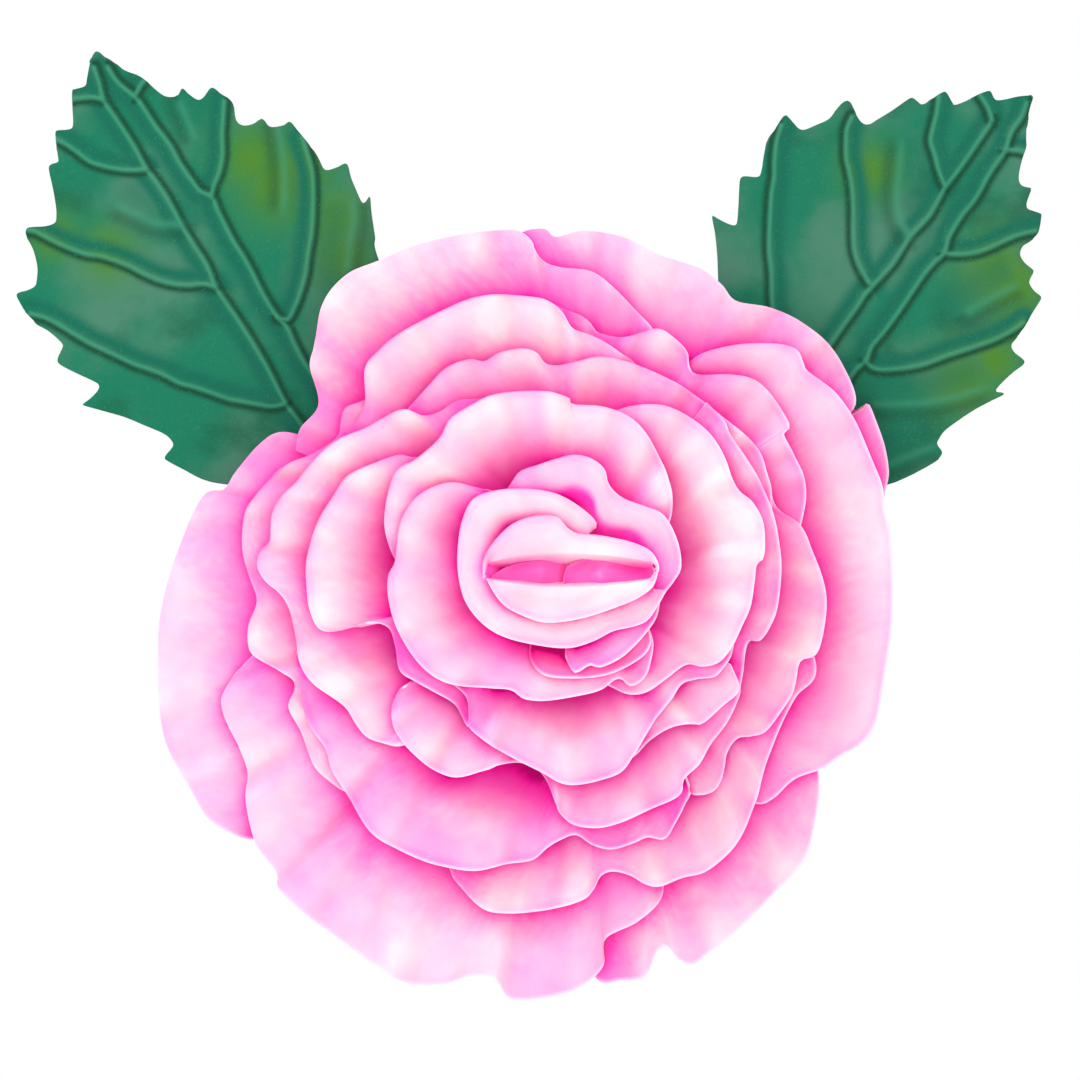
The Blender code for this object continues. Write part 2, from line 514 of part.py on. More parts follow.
def make_spring(group):
    """Wind the torsion spring round the pin, with one leg along each jaw."""
    curve = bpy.data.curves.new("clip_spring", "CURVE")
    curve.dimensions = "3D"
    curve.bevel_depth = SPRING_WIRE * MM
    curve.bevel_resolution = 1
    curve.use_fill_caps = True
    per_turn = 12
    steps = int(SPRING_TURNS * per_turn)
    pitch = 2 * SPRING_WIRE + 0.12
    start_angle = math.radians(-90)
    route = [(PIN_X - 7.5, PIN_BACK - SPRING_RADIUS - 0.2, CLIP_Z - pitch * SPRING_TURNS / 2)]
    for step in range(steps + 1):
        turn = start_angle + 2 * math.pi * step / per_turn
        route.append((PIN_X + SPRING_RADIUS * math.cos(turn), PIN_BACK + SPRING_RADIUS * math.sin(turn),
                      CLIP_Z + pitch * (step / per_turn - SPRING_TURNS / 2)))
    route.append((PIN_X - 7.0, PIN_BACK + SPRING_RADIUS - 0.6, CLIP_Z + pitch * SPRING_TURNS / 2))
    spline = curve.splines.new("POLY")
    spline.points.add(len(route) - 1)
    for point, place in zip(spline.points, route):
        point.co = (*[value * MM for value in place], 1.0)
    spring = bpy.data.objects.new("clip_spring", curve)
    group.objects.link(spring)
    curve.materials.append(make_material("spring_steel", (0.45, 0.45, 0.47), 0.35, 1.0))
    return spring


def main():
    """Build the whole hair flower."""
    clear_scene()
    flower = make_collection("hair_flower")
    tools = make_collection("clip_tools")
    field = LayingField()
    for petal in PETALS:
        make_petal(petal, field, flower)
    make_core(flower)
    make_disc("foam_base", BASE_RADIUS, BASE_BACK, BASE_THICK,
              make_material("base_foam", DEEP_PINK, 0.6), flower)
    make_felt(flower)
    make_leaf("leaf_left", LEAF_LEFT, flower)
    make_leaf("leaf_right", LEAF_RIGHT, flower)
    make_fixed_jaw(flower, tools)
    make_moving_jaw(flower, tools)
    make_pin(flower)
    make_spring(flower)


main()
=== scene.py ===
"""Looks for the foam-rose hair flower: ruffled petals, moulded leaves, felt back and steel clip.

Every petal is a thin foam sheet. Its rim follows the maker's outline, its face rises from the glued
root to that rim, and it is laid on the petals behind it with room for the foam between them.
"""

import logging
import math
import random
from collections.abc import Iterator
from contextlib import contextmanager
from dataclasses import dataclass, field
from enum import Enum

import bmesh
import bpy
import numpy as np
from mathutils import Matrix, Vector
from mathutils.geometry import delaunay_2d_cdt

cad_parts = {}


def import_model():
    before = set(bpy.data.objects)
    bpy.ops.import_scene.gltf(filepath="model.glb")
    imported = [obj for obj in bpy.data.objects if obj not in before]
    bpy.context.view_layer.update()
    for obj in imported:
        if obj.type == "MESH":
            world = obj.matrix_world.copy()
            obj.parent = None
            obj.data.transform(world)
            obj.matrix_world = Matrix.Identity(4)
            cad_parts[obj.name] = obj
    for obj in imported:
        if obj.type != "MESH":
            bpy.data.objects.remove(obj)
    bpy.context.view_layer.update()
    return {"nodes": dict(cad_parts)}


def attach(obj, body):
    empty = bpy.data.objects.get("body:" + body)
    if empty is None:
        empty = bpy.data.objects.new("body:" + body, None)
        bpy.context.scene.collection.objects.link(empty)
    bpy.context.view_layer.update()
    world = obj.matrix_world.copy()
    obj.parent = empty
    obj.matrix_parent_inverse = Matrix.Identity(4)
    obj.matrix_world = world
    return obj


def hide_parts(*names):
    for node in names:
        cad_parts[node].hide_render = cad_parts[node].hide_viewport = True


LOG = logging.getLogger("hair_flower")

MM = 0.001

Point = tuple[float, float]
Place = tuple[float, float, float]
Colour = tuple[float, float, float]
Noise = tuple[float, float]
Bump = tuple[float, float, float, float]
Piece = bpy.types.Object
Material = bpy.types.Material
Socket = bpy.types.NodeSocket


class Side(Enum):
    """Which of the two leaves a leaf is."""

    LEFT = "left"
    RIGHT = "right"


def to_world(x: np.ndarray, front: np.ndarray, z: np.ndarray) -> np.ndarray:
    """Turn millimetres across, towards the viewer and up into world metres.

    Args:
        x: Distances across, in millimetres.
        front: Distances in front of the felt's back face, in millimetres.
        z: Heights, in millimetres.

    Returns:
        One (x, y, z) row per point, in metres.
    """
    return np.stack([x * MM, -front * MM, z * MM], axis=-1).reshape(-1, 3)


def smooth_line(points: tuple[Point, ...], spacing: float) -> np.ndarray:
    """Run an even, rounded line through a few points.

    Args:
        points: The (x, z) points that the line passes through.
        spacing: The wanted distance between neighbouring samples.

    Returns:
        The samples, one (x, z) row each.
    """
    known = np.array(points, dtype=float)
    ghost = np.vstack([2 * known[0] - known[1], known, 2 * known[-1] - known[-2]])
    share = np.linspace(0.0, 1.0, 12, endpoint=False)[:, None]
    runs = []
    for before, start, end, after in zip(ghost, ghost[1:], ghost[2:], ghost[3:]):
        runs.append(0.5 * (2 * start + (end - before) * share
                           + (2 * before - 5 * start + 4 * end - after) * share ** 2
                           + (3 * start - before - 3 * end + after) * share ** 3))
    line = np.vstack(runs + [known[-1:]])
    length = np.concatenate([[0.0], np.cumsum(np.hypot(*np.diff(line, axis=0).T))])
    count = max(4, int(round(length[-1] / spacing)))
    even = np.linspace(0.0, length[-1], count + 1)
    return np.stack([np.interp(even, length, line[:, 0]), np.interp(even, length, line[:, 1])], axis=1)


def fill_faces(columns: int, rows: int) -> list[tuple[int, int, int, int]]:
    """List the quads of a grid of columns by rows points.

    Args:
        columns: Points along the first direction.
        rows: Points along the second direction.

    Returns:
        Four point numbers for each quad.
    """
    return [(c * rows + r, (c + 1) * rows + r, (c + 1) * rows + r + 1, c * rows + r + 1)
            for c in range(columns - 1) for r in range(rows - 1)]


def new_piece(name: str, points: np.ndarray, faces: list, body: str = "flower") -> Piece:
    """Make a smooth mesh piece that rides on a body.

    Args:
        name: The piece's name.
        points: Its vertices in metres.
        faces: Its faces as vertex numbers.
        body: The CAD body that it moves with.

    Returns:
        The new object.
    """
    mesh = bpy.data.meshes.new(name)
    mesh.from_pydata(points.tolist(), [], faces)
    mesh.shade_smooth()
    piece = bpy.data.objects.new(name, mesh)
    bpy.context.scene.collection.objects.link(piece)
    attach(piece, body)
    return piece


@contextmanager
def open_mesh(piece: Piece) -> Iterator[bmesh.types.BMesh]:
    """Open a piece's mesh for editing, and write it back at the end.

    Args:
        piece: The piece.

    Yields:
        The open mesh.
    """
    bm = bmesh.new()
    bm.from_mesh(piece.data)
    yield bm
    bm.to_mesh(piece.data)
    bm.free()


def face_viewer(piece: Piece) -> None:
    """Drop an open sheet's loose points and turn all its faces towards the viewer.

    Args:
        piece: The sheet.
    """
    with open_mesh(piece) as bm:
        bmesh.ops.delete(bm, geom=[vert for vert in bm.verts if not vert.link_faces], context="VERTS")
        bmesh.ops.recalc_face_normals(bm, faces=bm.faces)
        if sum(face.normal.y * face.calc_area() for face in bm.faces) > 0:
            bmesh.ops.reverse_faces(bm, faces=bm.faces)


def foam_sheet(name: str, front: np.ndarray, normal: np.ndarray, thick: float) -> Piece:
    """Make a closed sheet of foam from a grid, with crisp cut edges.

    Args:
        name: The piece's name.
        front: The front face's grid of (x, y, z) places, in metres.
        normal: The front face's unit normals.
        thick: The foam's thickness, in metres.

    Returns:
        The piece, whose vertices are the front's and then the back's.
    """
    columns, rows = front.shape[:2]
    count = columns * rows
    ring = [c * rows for c in range(columns)] + [(columns - 1) * rows + r for r in range(1, rows)]
    ring += [c * rows + rows - 1 for c in range(columns - 2, -1, -1)] + list(range(rows - 2, 0, -1))
    sides = list(zip(ring, ring[1:] + ring[:1]))
    faces = fill_faces(columns, rows)
    faces += [tuple(count + corner for corner in reversed(face)) for face in faces]
    faces += [(a, b, count + b, count + a) for a, b in sides]
    back = front - thick * normal
    piece = new_piece(name, np.concatenate([front.reshape(-1, 3), back.reshape(-1, 3)]), faces)
    with open_mesh(piece) as bm:
        bmesh.ops.recalc_face_normals(bm, faces=bm.faces)
        bm.verts.ensure_lookup_table()
        for a, b in sides:
            for start, end in ((a, b), (count + a, count + b)):
                edge = bm.edges.get((bm.verts[start], bm.verts[end]))
                if edge:
                    edge.smooth = False
    return piece


def paint(piece: Piece, name: str, values: np.ndarray) -> None:
    """Store one number for each vertex of a piece, for its finish to read.

    Args:
        piece: The piece to paint.
        name: The attribute's name.
        values: One value for each vertex.
    """
    layer = piece.data.attributes.new(name, "FLOAT", "POINT")
    layer.data.foreach_set("value", np.ascontiguousarray(values, dtype=np.float32).ravel())


def thicken(piece: Piece, name: str, thick: float, offset: float) -> None:
    """Give a flat sheet its thickness.

    Args:
        piece: The sheet.
        name: The modifier's name.
        thick: The thickness, in millimetres.
        offset: Where the thickness goes: -1 behind the sheet, 0 half each way.
    """
    shell = piece.modifiers.new(name, "SOLIDIFY")
    shell.thickness = thick * MM
    shell.offset = offset


def dress(piece: Piece, material: Material, node: str) -> None:
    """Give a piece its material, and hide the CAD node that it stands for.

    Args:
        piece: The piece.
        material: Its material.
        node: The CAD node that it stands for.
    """
    piece.data.materials.append(material)
    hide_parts(node)


class Shade:
    """A small helper that wires one Principled material, node by node."""

    def __init__(self, name: str, settings: dict[str, float | tuple[float, ...]]) -> None:
        """Start a Principled material.

        Args:
            name: The material's name.
            settings: The shader's plain values, which are the same all over the surface.
        """
        self.material = bpy.data.materials.new(name)
        self.material.use_nodes = True
        self.tree = self.material.node_tree
        self.shader = self.tree.nodes["Principled BSDF"]
        for socket, value in settings.items():
            self.shader.inputs[socket].default_value = value
        self.place = self.tree.nodes.new("ShaderNodeTexCoord").outputs["Object"]

    def attribute(self, name: str) -> Socket:
        """Read one of the piece's painted values."""
        node = self.tree.nodes.new("ShaderNodeAttribute")
        node.attribute_name = name
        return node.outputs["Fac"]

    def noise(self, scale: float, detail: float, stretch: Place = (1.0, 1.0, 1.0)) -> Socket:
        """Make a noise of a given scale.

        Args:
            scale: Cells per metre.
            detail: Octaves.
            stretch: How much the noise is squeezed along each axis.

        Returns:
            The noise's value.
        """
        mapping = self.tree.nodes.new("ShaderNodeMapping")
        mapping.inputs["Scale"].default_value = stretch
        self.tree.links.new(self.place, mapping.inputs["Vector"])
        node = self.tree.nodes.new("ShaderNodeTexNoise")
        node.inputs["Scale"].default_value = scale
        node.inputs["Detail"].default_value = detail
        self.tree.links.new(mapping.outputs["Vector"], node.inputs["Vector"])
        return node.outputs["Fac"]

    def remap(self, value: Socket, low: float, high: float,
              to_low: float = 0.0, to_high: float = 1.0) -> Socket:
        """Stretch a value smoothly from one range to another.

        Args:
            value: The value to stretch.
            low: The value that becomes to_low.
            high: The value that becomes to_high.
            to_low: The result at low.
            to_high: The result at high.

        Returns:
            The stretched value.
        """
        node = self.tree.nodes.new("ShaderNodeMapRange")
        node.interpolation_type = "SMOOTHSTEP"
        node.inputs["From Min"].default_value = low
        node.inputs["From Max"].default_value = high
        node.inputs["To Min"].default_value = to_low
        node.inputs["To Max"].default_value = to_high
        self.tree.links.new(value, node.inputs["Value"])
        return node.outputs["Result"]

    def add(self, first: Socket, second: Socket) -> Socket:
        """Add two values."""
        node = self.tree.nodes.new("ShaderNodeMath")
        node.operation = "ADD"
        self.tree.links.new(first, node.inputs[0])
        self.tree.links.new(second, node.inputs[1])
        return node.outputs["Value"]

    def blend(self, factor: Socket, first: Socket | Colour, second: Socket | Colour) -> Socket:
        """Mix two colours.

        Args:
            factor: How much of the second colour shows.
            first: The colour at 0.
            second: The colour at 1.

        Returns:
            The mixed colour.
        """
        node = self.tree.nodes.new("ShaderNodeMix")
        node.data_type = "RGBA"
        self.tree.links.new(factor, node.inputs["Factor"])
        for socket, colour in ((node.inputs[6], first), (node.inputs[7], second)):
            if isinstance(colour, tuple):
                socket.default_value = (*colour, 1.0)
            else:
                self.tree.links.new(colour, socket)
        return node.outputs[2]

    def ramp(self, value: Socket, stops: tuple[tuple[float, Colour], ...]) -> Socket:
        """Turn a value into a colour through a row of stops.

        Args:
            value: The value, from 0 to 1.
            stops: Each stop's place and colour, in rising order.

        Returns:
            The colour.
        """
        node = self.tree.nodes.new("ShaderNodeValToRGB")
        elements = node.color_ramp.elements
        for number, (place, colour) in enumerate(stops):
            element = elements[number] if number < len(elements) else elements.new(place)
            element.position = place
            element.color = (*colour, 1.0)
        self.tree.links.new(value, node.inputs["Fac"])
        return node.outputs["Color"]

    def bump(self, height: Socket, strength: float, distance: float) -> None:
        """Raise the surface by a height, on top of any bump already there.

        Args:
            height: The height's value.
            strength: How strongly it shows.
            distance: The real height of a full step, in metres.
        """
        node = self.tree.nodes.new("ShaderNodeBump")
        node.inputs["Strength"].default_value = strength
        node.inputs["Distance"].default_value = distance
        self.tree.links.new(height, node.inputs["Height"])
        normal = self.shader.inputs["Normal"]
        if normal.is_linked:
            self.tree.links.new(normal.links[0].from_socket, node.inputs["Normal"])
        self.tree.links.new(node.outputs["Normal"], normal)

    def dimple(self, scale: float, detail: float, strength: float, distance: float) -> None:
        """Bump the surface with a noise.

        Args:
            scale: Cells per metre.
            detail: Octaves.
            strength: How strongly it shows.
            distance: The real height of a full step, in metres.
        """
        self.bump(self.noise(scale, detail), strength, distance)

    def colour(self, colour: Socket) -> None:
        """Use a colour for the surface."""
        self.tree.links.new(colour, self.shader.inputs["Base Color"])

    def roughness(self, value: Socket) -> None:
        """Use a value for the roughness."""
        self.tree.links.new(value, self.shader.inputs["Roughness"])


# A richer ramp for the petals deep in the bud's mouth, and for the core and base behind them: painted shade.
DEEP_STOPS = (
    (0.0, (0.60, 0.0, 0.20)), (0.08, (1.0, 0.006, 0.29)), (0.30, (1.0, 0.09, 0.39)),
    (0.55, (1.0, 0.20, 0.46)), (1.0, (1.0, 0.55, 0.66)))


@dataclass(frozen=True)
class FoamFinish:
    """Heat-shaped craft foam: satin and softly see-through, with painted light and shade in its tone: paler
    on open crests and lit rims, richer with painted shade in the folds.
    """

    # The tone runs from 0, the richest painted shade, to 1, the palest painted light.
    stops: tuple[tuple[float, Colour], ...] = (
        (0.0, (0.60, 0.0, 0.24)), (0.08, (1.0, 0.006, 0.42)), (0.30, (1.0, 0.09, 0.48)),
        (0.55, (1.0, 0.24, 0.54)), (0.78, (1.0, 0.41, 0.58)), (0.92, (1.0, 0.53, 0.61)),
        (1.0, (1.0, 0.61, 0.66)))
    # Painted highlight along cut edges turned to the light, and a painted shade line along those turned away.
    rim_highlight: Colour = (0.93, 0.62, 0.82)
    rim_shade: Colour = (0.60, 0.10, 0.38)
    rim_shade_share: float = 0.8
    roughness: float = 0.33
    gloss: float = 0.32
    translucency: float = 0.22
    glow_depth: float = 0.0025
    glow_spread: Place = (1.0, 0.3, 0.7)
    sheen: float = 0.1
    sheen_roughness: float = 0.4
    # The broad cloud is painted light and shade in random patches, for the satin wrinkles; the fine cloud is
    # a small random mottling.
    broad_cloud: Noise = (38.0, 2.0)
    fine_cloud: Noise = (120.0, 2.0)
    pores: Bump = (2600.0, 2.0, 0.12, 0.0002)
    dents: Bump = (160.0, 2.0, 0.15, 0.0008)

    def material(self, name: str) -> Material:
        """Wire the foam's material.

        Args:
            name: The material's name.

        Returns:
            The material.
        """
        shade = Shade(name, {
            "Roughness": self.roughness, "Specular IOR Level": self.gloss,
            "Subsurface Weight": self.translucency, "Subsurface Radius": self.glow_spread,
            "Subsurface Scale": self.glow_depth, "Sheen Weight": self.sheen,
            "Sheen Roughness": self.sheen_roughness})
        # Painted light and shade of the satin wrinkles, in random broad patches.
        broad = shade.remap(shade.noise(*self.broad_cloud), 0.3, 0.7, -0.11, 0.09)
        fine = shade.remap(shade.noise(*self.fine_cloud), 0.3, 0.7, -0.03, 0.05)
        tone = shade.ramp(shade.add(shade.attribute("tone"), shade.add(broad, fine)), self.stops)
        # Painted rim highlight, then the painted rim shade line.
        tone = shade.blend(shade.attribute("rim_highlight"), tone, self.rim_highlight)
        shadow = shade.remap(shade.attribute("rim_shade"), 0.0, 0.7, 0.0, self.rim_shade_share)
        shade.colour(shade.blend(shadow, tone, self.rim_shade))
        shade.dimple(*self.pores)
        shade.dimple(*self.dents)
        return shade.material


@dataclass(frozen=True)
class LeafFinish:
    """Moulded green foam: airbrushed teal and yellow greens, with painted highlights along the vein crests,
    dark vein valleys that are part airbrush and part painted shade, and painted satin sheen in grey patches.
    """

    body: Colour = (0.003, 0.140, 0.074)
    # The grey is painted satin sheen, in random patches.
    grey: Colour = (0.048, 0.165, 0.105)
    deep: Colour = (0.004, 0.085, 0.042)
    teal: Colour = (0.001, 0.105, 0.062)
    # The shade colour is a dark vein-valley band, part airbrush and part painted shade.
    shade: Colour = (0.003, 0.046, 0.022)
    yellow: Colour = (0.048, 0.168, 0.014)
    # The ridge colour is a painted highlight along the vein crests.
    ridge: Colour = (0.034, 0.210, 0.120)
    roughness: float = 0.42
    gloss: float = 0.1
    grey_cloud: Noise = (34.0, 5.0)
    deep_cloud: Noise = (48.0, 4.0)
    deep_stretch: Place = (1.0, 1.6, 1.3)
    speckle: Noise = (2200.0, 1.0)
    pores: Bump = (1800.0, 3.0, 0.25, 0.0002)
    dents: Bump = (90.0, 4.0, 0.35, 0.0012)

    def material(self, name: str) -> Material:
        """Wire the leaf's material.

        Args:
            name: The material's name.

        Returns:
            The material.
        """
        shade = Shade(name, {"Roughness": self.roughness, "Specular IOR Level": self.gloss})
        # Painted satin sheen in random grey patches.
        grey = shade.remap(shade.noise(*self.grey_cloud), 0.44, 0.66)
        deep = shade.remap(shade.noise(*self.deep_cloud, self.deep_stretch), 0.52, 0.7, 0.0, 0.75)
        tone = shade.blend(deep, shade.blend(grey, self.body, self.grey), self.deep)
        # Airbrushed yellow and teal, the vein valleys' part-painted shade and the crests' painted highlight.
        for mask, colour in (("yellow", self.yellow), ("teal", self.teal), ("shade", self.shade),
                             ("ridge", self.ridge)):
            tone = shade.blend(shade.attribute(mask), tone, colour)
        speck = shade.remap(shade.noise(*self.speckle), 0.62, 0.72, 0.0, 0.35)
        shade.colour(shade.blend(speck, tone, self.ridge))
        shade.dimple(*self.pores)
        shade.dimple(*self.dents)
        return shade.material


@dataclass(frozen=True)
class FeltFinish:
    """Pressed green craft felt: matt, fibrous and slightly mottled."""

    dark: Colour = (0.012, 0.07, 0.035)
    light: Colour = (0.03, 0.14, 0.07)
    roughness: float = 0.95
    sheen: float = 0.4
    sheen_roughness: float = 0.6
    fibre: Noise = (1400.0, 6.0)
    fibre_stretch: Place = (1.0, 1.0, 0.35)

    def material(self, name: str) -> Material:
        """Wire the felt's material.

        Args:
            name: The material's name.

        Returns:
            The material.
        """
        shade = Shade(name, {"Roughness": self.roughness, "Sheen Weight": self.sheen,
                             "Sheen Roughness": self.sheen_roughness})
        fibre = shade.noise(*self.fibre, self.fibre_stretch)
        shade.colour(shade.blend(shade.remap(fibre, 0.35, 0.65), self.dark, self.light))
        shade.bump(fibre, 0.7, 0.0004)
        return shade.material


@dataclass(frozen=True)
class SteelFinish:
    """Nickel-plated spring steel with fine rolling marks and a little handling wear."""

    bright: Colour = (0.40, 0.39, 0.38)
    dull: Colour = (0.22, 0.22, 0.22)
    roughness: float = 0.28
    streaks: Noise = (1800.0, 4.0)
    grain: Place = (0.1, 1.0, 1.0)
    wear: Noise = (120.0, 4.0)

    def material(self, name: str) -> Material:
        """Wire the steel's material.

        Args:
            name: The material's name.

        Returns:
            The material.
        """
        shade = Shade(name, {"Roughness": self.roughness, "Metallic": 1.0})
        streak = shade.noise(*self.streaks, self.grain)
        worn = shade.remap(shade.noise(*self.wear), 0.5, 0.75)
        shade.colour(shade.blend(worn, self.bright, self.dull))
        shade.roughness(shade.remap(streak, 0.3, 0.7, 0.2, 0.38))
        shade.bump(streak, 0.08, 0.0001)
        return shade.material


@dataclass(frozen=True)
class Petal:
    """One foam petal, measured in millimetres from the bud axis and the felt's back face.

    Attributes:
        node: The CAD node that it stands for.
        rim: Points (x, z) along its free edge. The first and last are tucked under its neighbours.
        front: How far its crest stands out at the rim's start, middle and end.
        flat: How far in from the rim it stays level.
        fall: How quickly it falls away beyond that.
        reach: How far its face runs from the rim to its aim, as a share of the way.
        aim: The share of the rim's x, and the z, that the face runs to.
        ruffle: The height of its ruffles.
        wave: The length of one ruffle.
        roll: How far its very edge rolls back.
        deep: How far in from the rim the painted shade inside the bud starts.
        wall: The height of the wall that turns in at the face's end.
        sag: How far the wall bows at the bud's sides.
        shading_tint: How much paler, or richer if negative, its tone is: painted light and shade, set petal
            by petal.
        least: The palest that its richest colour may be.
    """

    node: str
    rim: tuple[Point, ...]
    front: tuple[float, float, float]
    flat: float = 2.0
    fall: float = 0.024
    reach: float = 0.6
    aim: Point = (0.0, 0.0)
    ruffle: float = 1.5
    wave: float = 21.0
    roll: float = 0.12
    deep: float = 99.0
    wall: float = 0.0
    sag: float = 0.0
    shading_tint: float = 0.0
    least: float = 0.02


OUTER_PETALS = (
    Petal("outer_petal_far_right", (
        (66, 41), (70, 39.6), (72, 41.5), (74, 37), (76, 31), (77, 25), (76.5, 21.5), (75.5, 17),
        (74, 10)), (11, 14, 11), ruffle=0.3, shading_tint=-0.06),
    Petal("outer_petal_left", (
        (-60.5, 32.5), (-69.5, 34.5), (-75, 31.5), (-80.5, 25), (-83.5, 20.5), (-88, 19.5),
        (-92.5, 11), (-96.5, -0.5), (-99, -13), (-99, -30), (-97, -41.5), (-91, -52.5),
        (-87, -59), (-81.5, -62.5), (-76, -64), (-66, -62)), (12, 17, 12), ruffle=0.9, wave=30.0, shading_tint=-0.05),
    Petal("outer_petal_top_right", (
        (-18, 77), (-12, 82.5), (-6, 83.5), (-3.5, 81.5), (3.5, 83), (13, 81.5), (20.5, 77.5),
        (31, 74), (36.5, 70), (40, 66), (48, 64.5), (55, 61.5), (62.5, 55.5), (67, 48.5),
        (69, 42.5), (67.5, 39), (62, 36)), (12, 16, 13), ruffle=1.3, wave=24.0),
    Petal("outer_petal_bottom_right", (
        (58, -38), (60, -48), (59.5, -57.5), (56.5, -68.5), (49, -77), (41, -85), (33, -91.5),
        (29.5, -94), (26, -92.5), (23.5, -89.5), (21, -91), (18, -97), (12, -98), (7, -98),
        (2, -90)), (14, 17, 12), ruffle=0.9, shading_tint=-0.05),
    Petal("outer_petal_top_left", (
        (-66, 30), (-65, 35), (-60.5, 41), (-62.5, 50), (-61.5, 55), (-59.5, 65), (-54, 72),
        (-46, 75.5), (-36, 79.5), (-24, 82), (-12, 82.5), (-7, 76), (-2.5, 74), (5, 73),
        (10, 69.5), (15.5, 64), (19.5, 59.5), (24, 52)), (17, 21, 19), shading_tint=-0.04),
    Petal("outer_petal_bottom_left", (
        (-68, -14), (-76, -19), (-83, -27.5), (-83.5, -33), (-79.5, -41.5), (-77.5, -47.5),
        (-78, -54), (-75.5, -64.5), (-70.5, -71.5), (-70, -75.5), (-63.5, -81.5), (-55.5, -87.5),
        (-48, -93), (-39.5, -98), (-31, -98.5), (-24, -96.5), (-18, -97), (-14, -102),
        (-5, -101.5), (2.5, -99), (8, -94), (8.5, -87.5), (16, -83.5), (21.5, -78.5),
        (22.5, -74), (22, -66)), (18, 20, 19), ruffle=1.2, wave=26.0, shading_tint=-0.09),
)
SECOND_PETALS = (
    Petal("second_petal_right_wrap", (
        (23.5, 45.5), (29, 51.5), (34, 54), (42, 55.5), (50, 55.5), (54.5, 54), (56, 51),
        (57, 49), (63.5, 44), (68.5, 37), (72, 29), (75, 21.5), (75.5, 16), (77, 9.5),
        (77.5, 2.5), (77.5, -11), (75.5, -25), (73.5, -35.5), (70, -40.5), (65, -43.5),
        (60.5, -46.5), (54, -49), (49, -53.5), (45, -55), (39, -52)), (23, 20, 21), ruffle=0.5,
        wave=34.0, shading_tint=-0.03),
    Petal("second_petal_bottom", (
        (-36, -67), (-29.5, -69.5), (-27, -74), (-19.5, -80.5), (-7, -80.5), (2.5, -78),
        (5.5, -75.5), (7.5, -72), (10.5, -71), (14.5, -72), (18, -74), (21.5, -74.5),
        (27, -72.5), (32.5, -71), (38.5, -66), (42, -60.5), (44.5, -54), (46.5, -46.5),
        (49.5, -38.5), (52, -33), (54.5, -28.5), (58, -25.5), (59, -22.5), (58, -18.5),
        (55, -15)), (23, 25, 25)),
    Petal("second_petal_left", (
        (-47, 43), (-50.5, 41.5), (-54, 40), (-55, 37), (-56, 33), (-62, 29), (-67, 27),
        (-71, 24), (-75.5, 19), (-78, 14.5), (-78.5, 7), (-77, 0), (-75, -6), (-77, -12),
        (-77, -17), (-75.5, -19.5), (-70.5, -22.5), (-66.5, -25), (-66, -27.5), (-67.5, -31.5),
        (-64.5, -37.5), (-61.5, -45.5), (-57.5, -49.5), (-53.5, -52), (-47, -53)), (22, 25, 23), shading_tint=0.2),
    Petal("second_petal_top", (
        (-15.5, 64), (-7, 66), (-2, 64), (3.5, 61.5), (5.5, 59.5), (7, 58), (13, 57), (20.5, 59),
        (24.5, 57), (28, 53.5), (28.5, 50), (30.5, 48), (38.5, 48), (44.5, 46.5), (49, 42),
        (52.5, 36), (51, 34), (53.5, 29), (56, 23.5), (56.5, 18), (55, 11)), (23, 27, 25)),
    Petal("second_petal_right", (
        (43.5, 25), (47.5, 20.5), (49.5, 16), (55, 12), (58, 5.5), (61, -3.5), (61, -10.5),
        (59, -18.5), (55, -20.5), (54, -25), (52.5, -29.5), (47, -37), (43, -38.5), (40, -39),
        (37.5, -42.5), (36.5, -48), (34.5, -51.5), (31, -52.5), (28.5, -52), (25, -48)),
        (28, 29, 27), shading_tint=0.08),
    Petal("second_petal_bottom_left", (
        (-64, -12), (-65.5, -20), (-64.5, -25), (-64, -31), (-62, -36.5), (-58.5, -41.5),
        (-57, -46.5), (-53.5, -52), (-48, -61), (-41, -65.5), (-32.5, -69), (-23, -70.5),
        (-15.5, -69), (-9, -68), (-5.5, -65), (-2, -63), (1.5, -62), (5.5, -64.5), (10, -65.5),
        (15, -64), (18.5, -62.5), (22.5, -63), (25, -59.5), (27.5, -54.5), (28.5, -51.5),
        (26, -45)), (25, 30, 29), shading_tint=-0.14),
    Petal("second_petal_top_left", (
        (-54, 34.5), (-51, 37), (-49, 41.5), (-49, 49.5), (-45.5, 54), (-42, 57), (-36, 60.5),
        (-30, 63.5), (-24, 66), (-17.5, 67), (-9.5, 66.5), (-5.5, 65.5), (-2, 63), (0.5, 59),
        (4.5, 57.5), (8.5, 55.5), (12, 53), (15.5, 50.5), (19, 45)), (27, 30, 30), shading_tint=0.08),
)
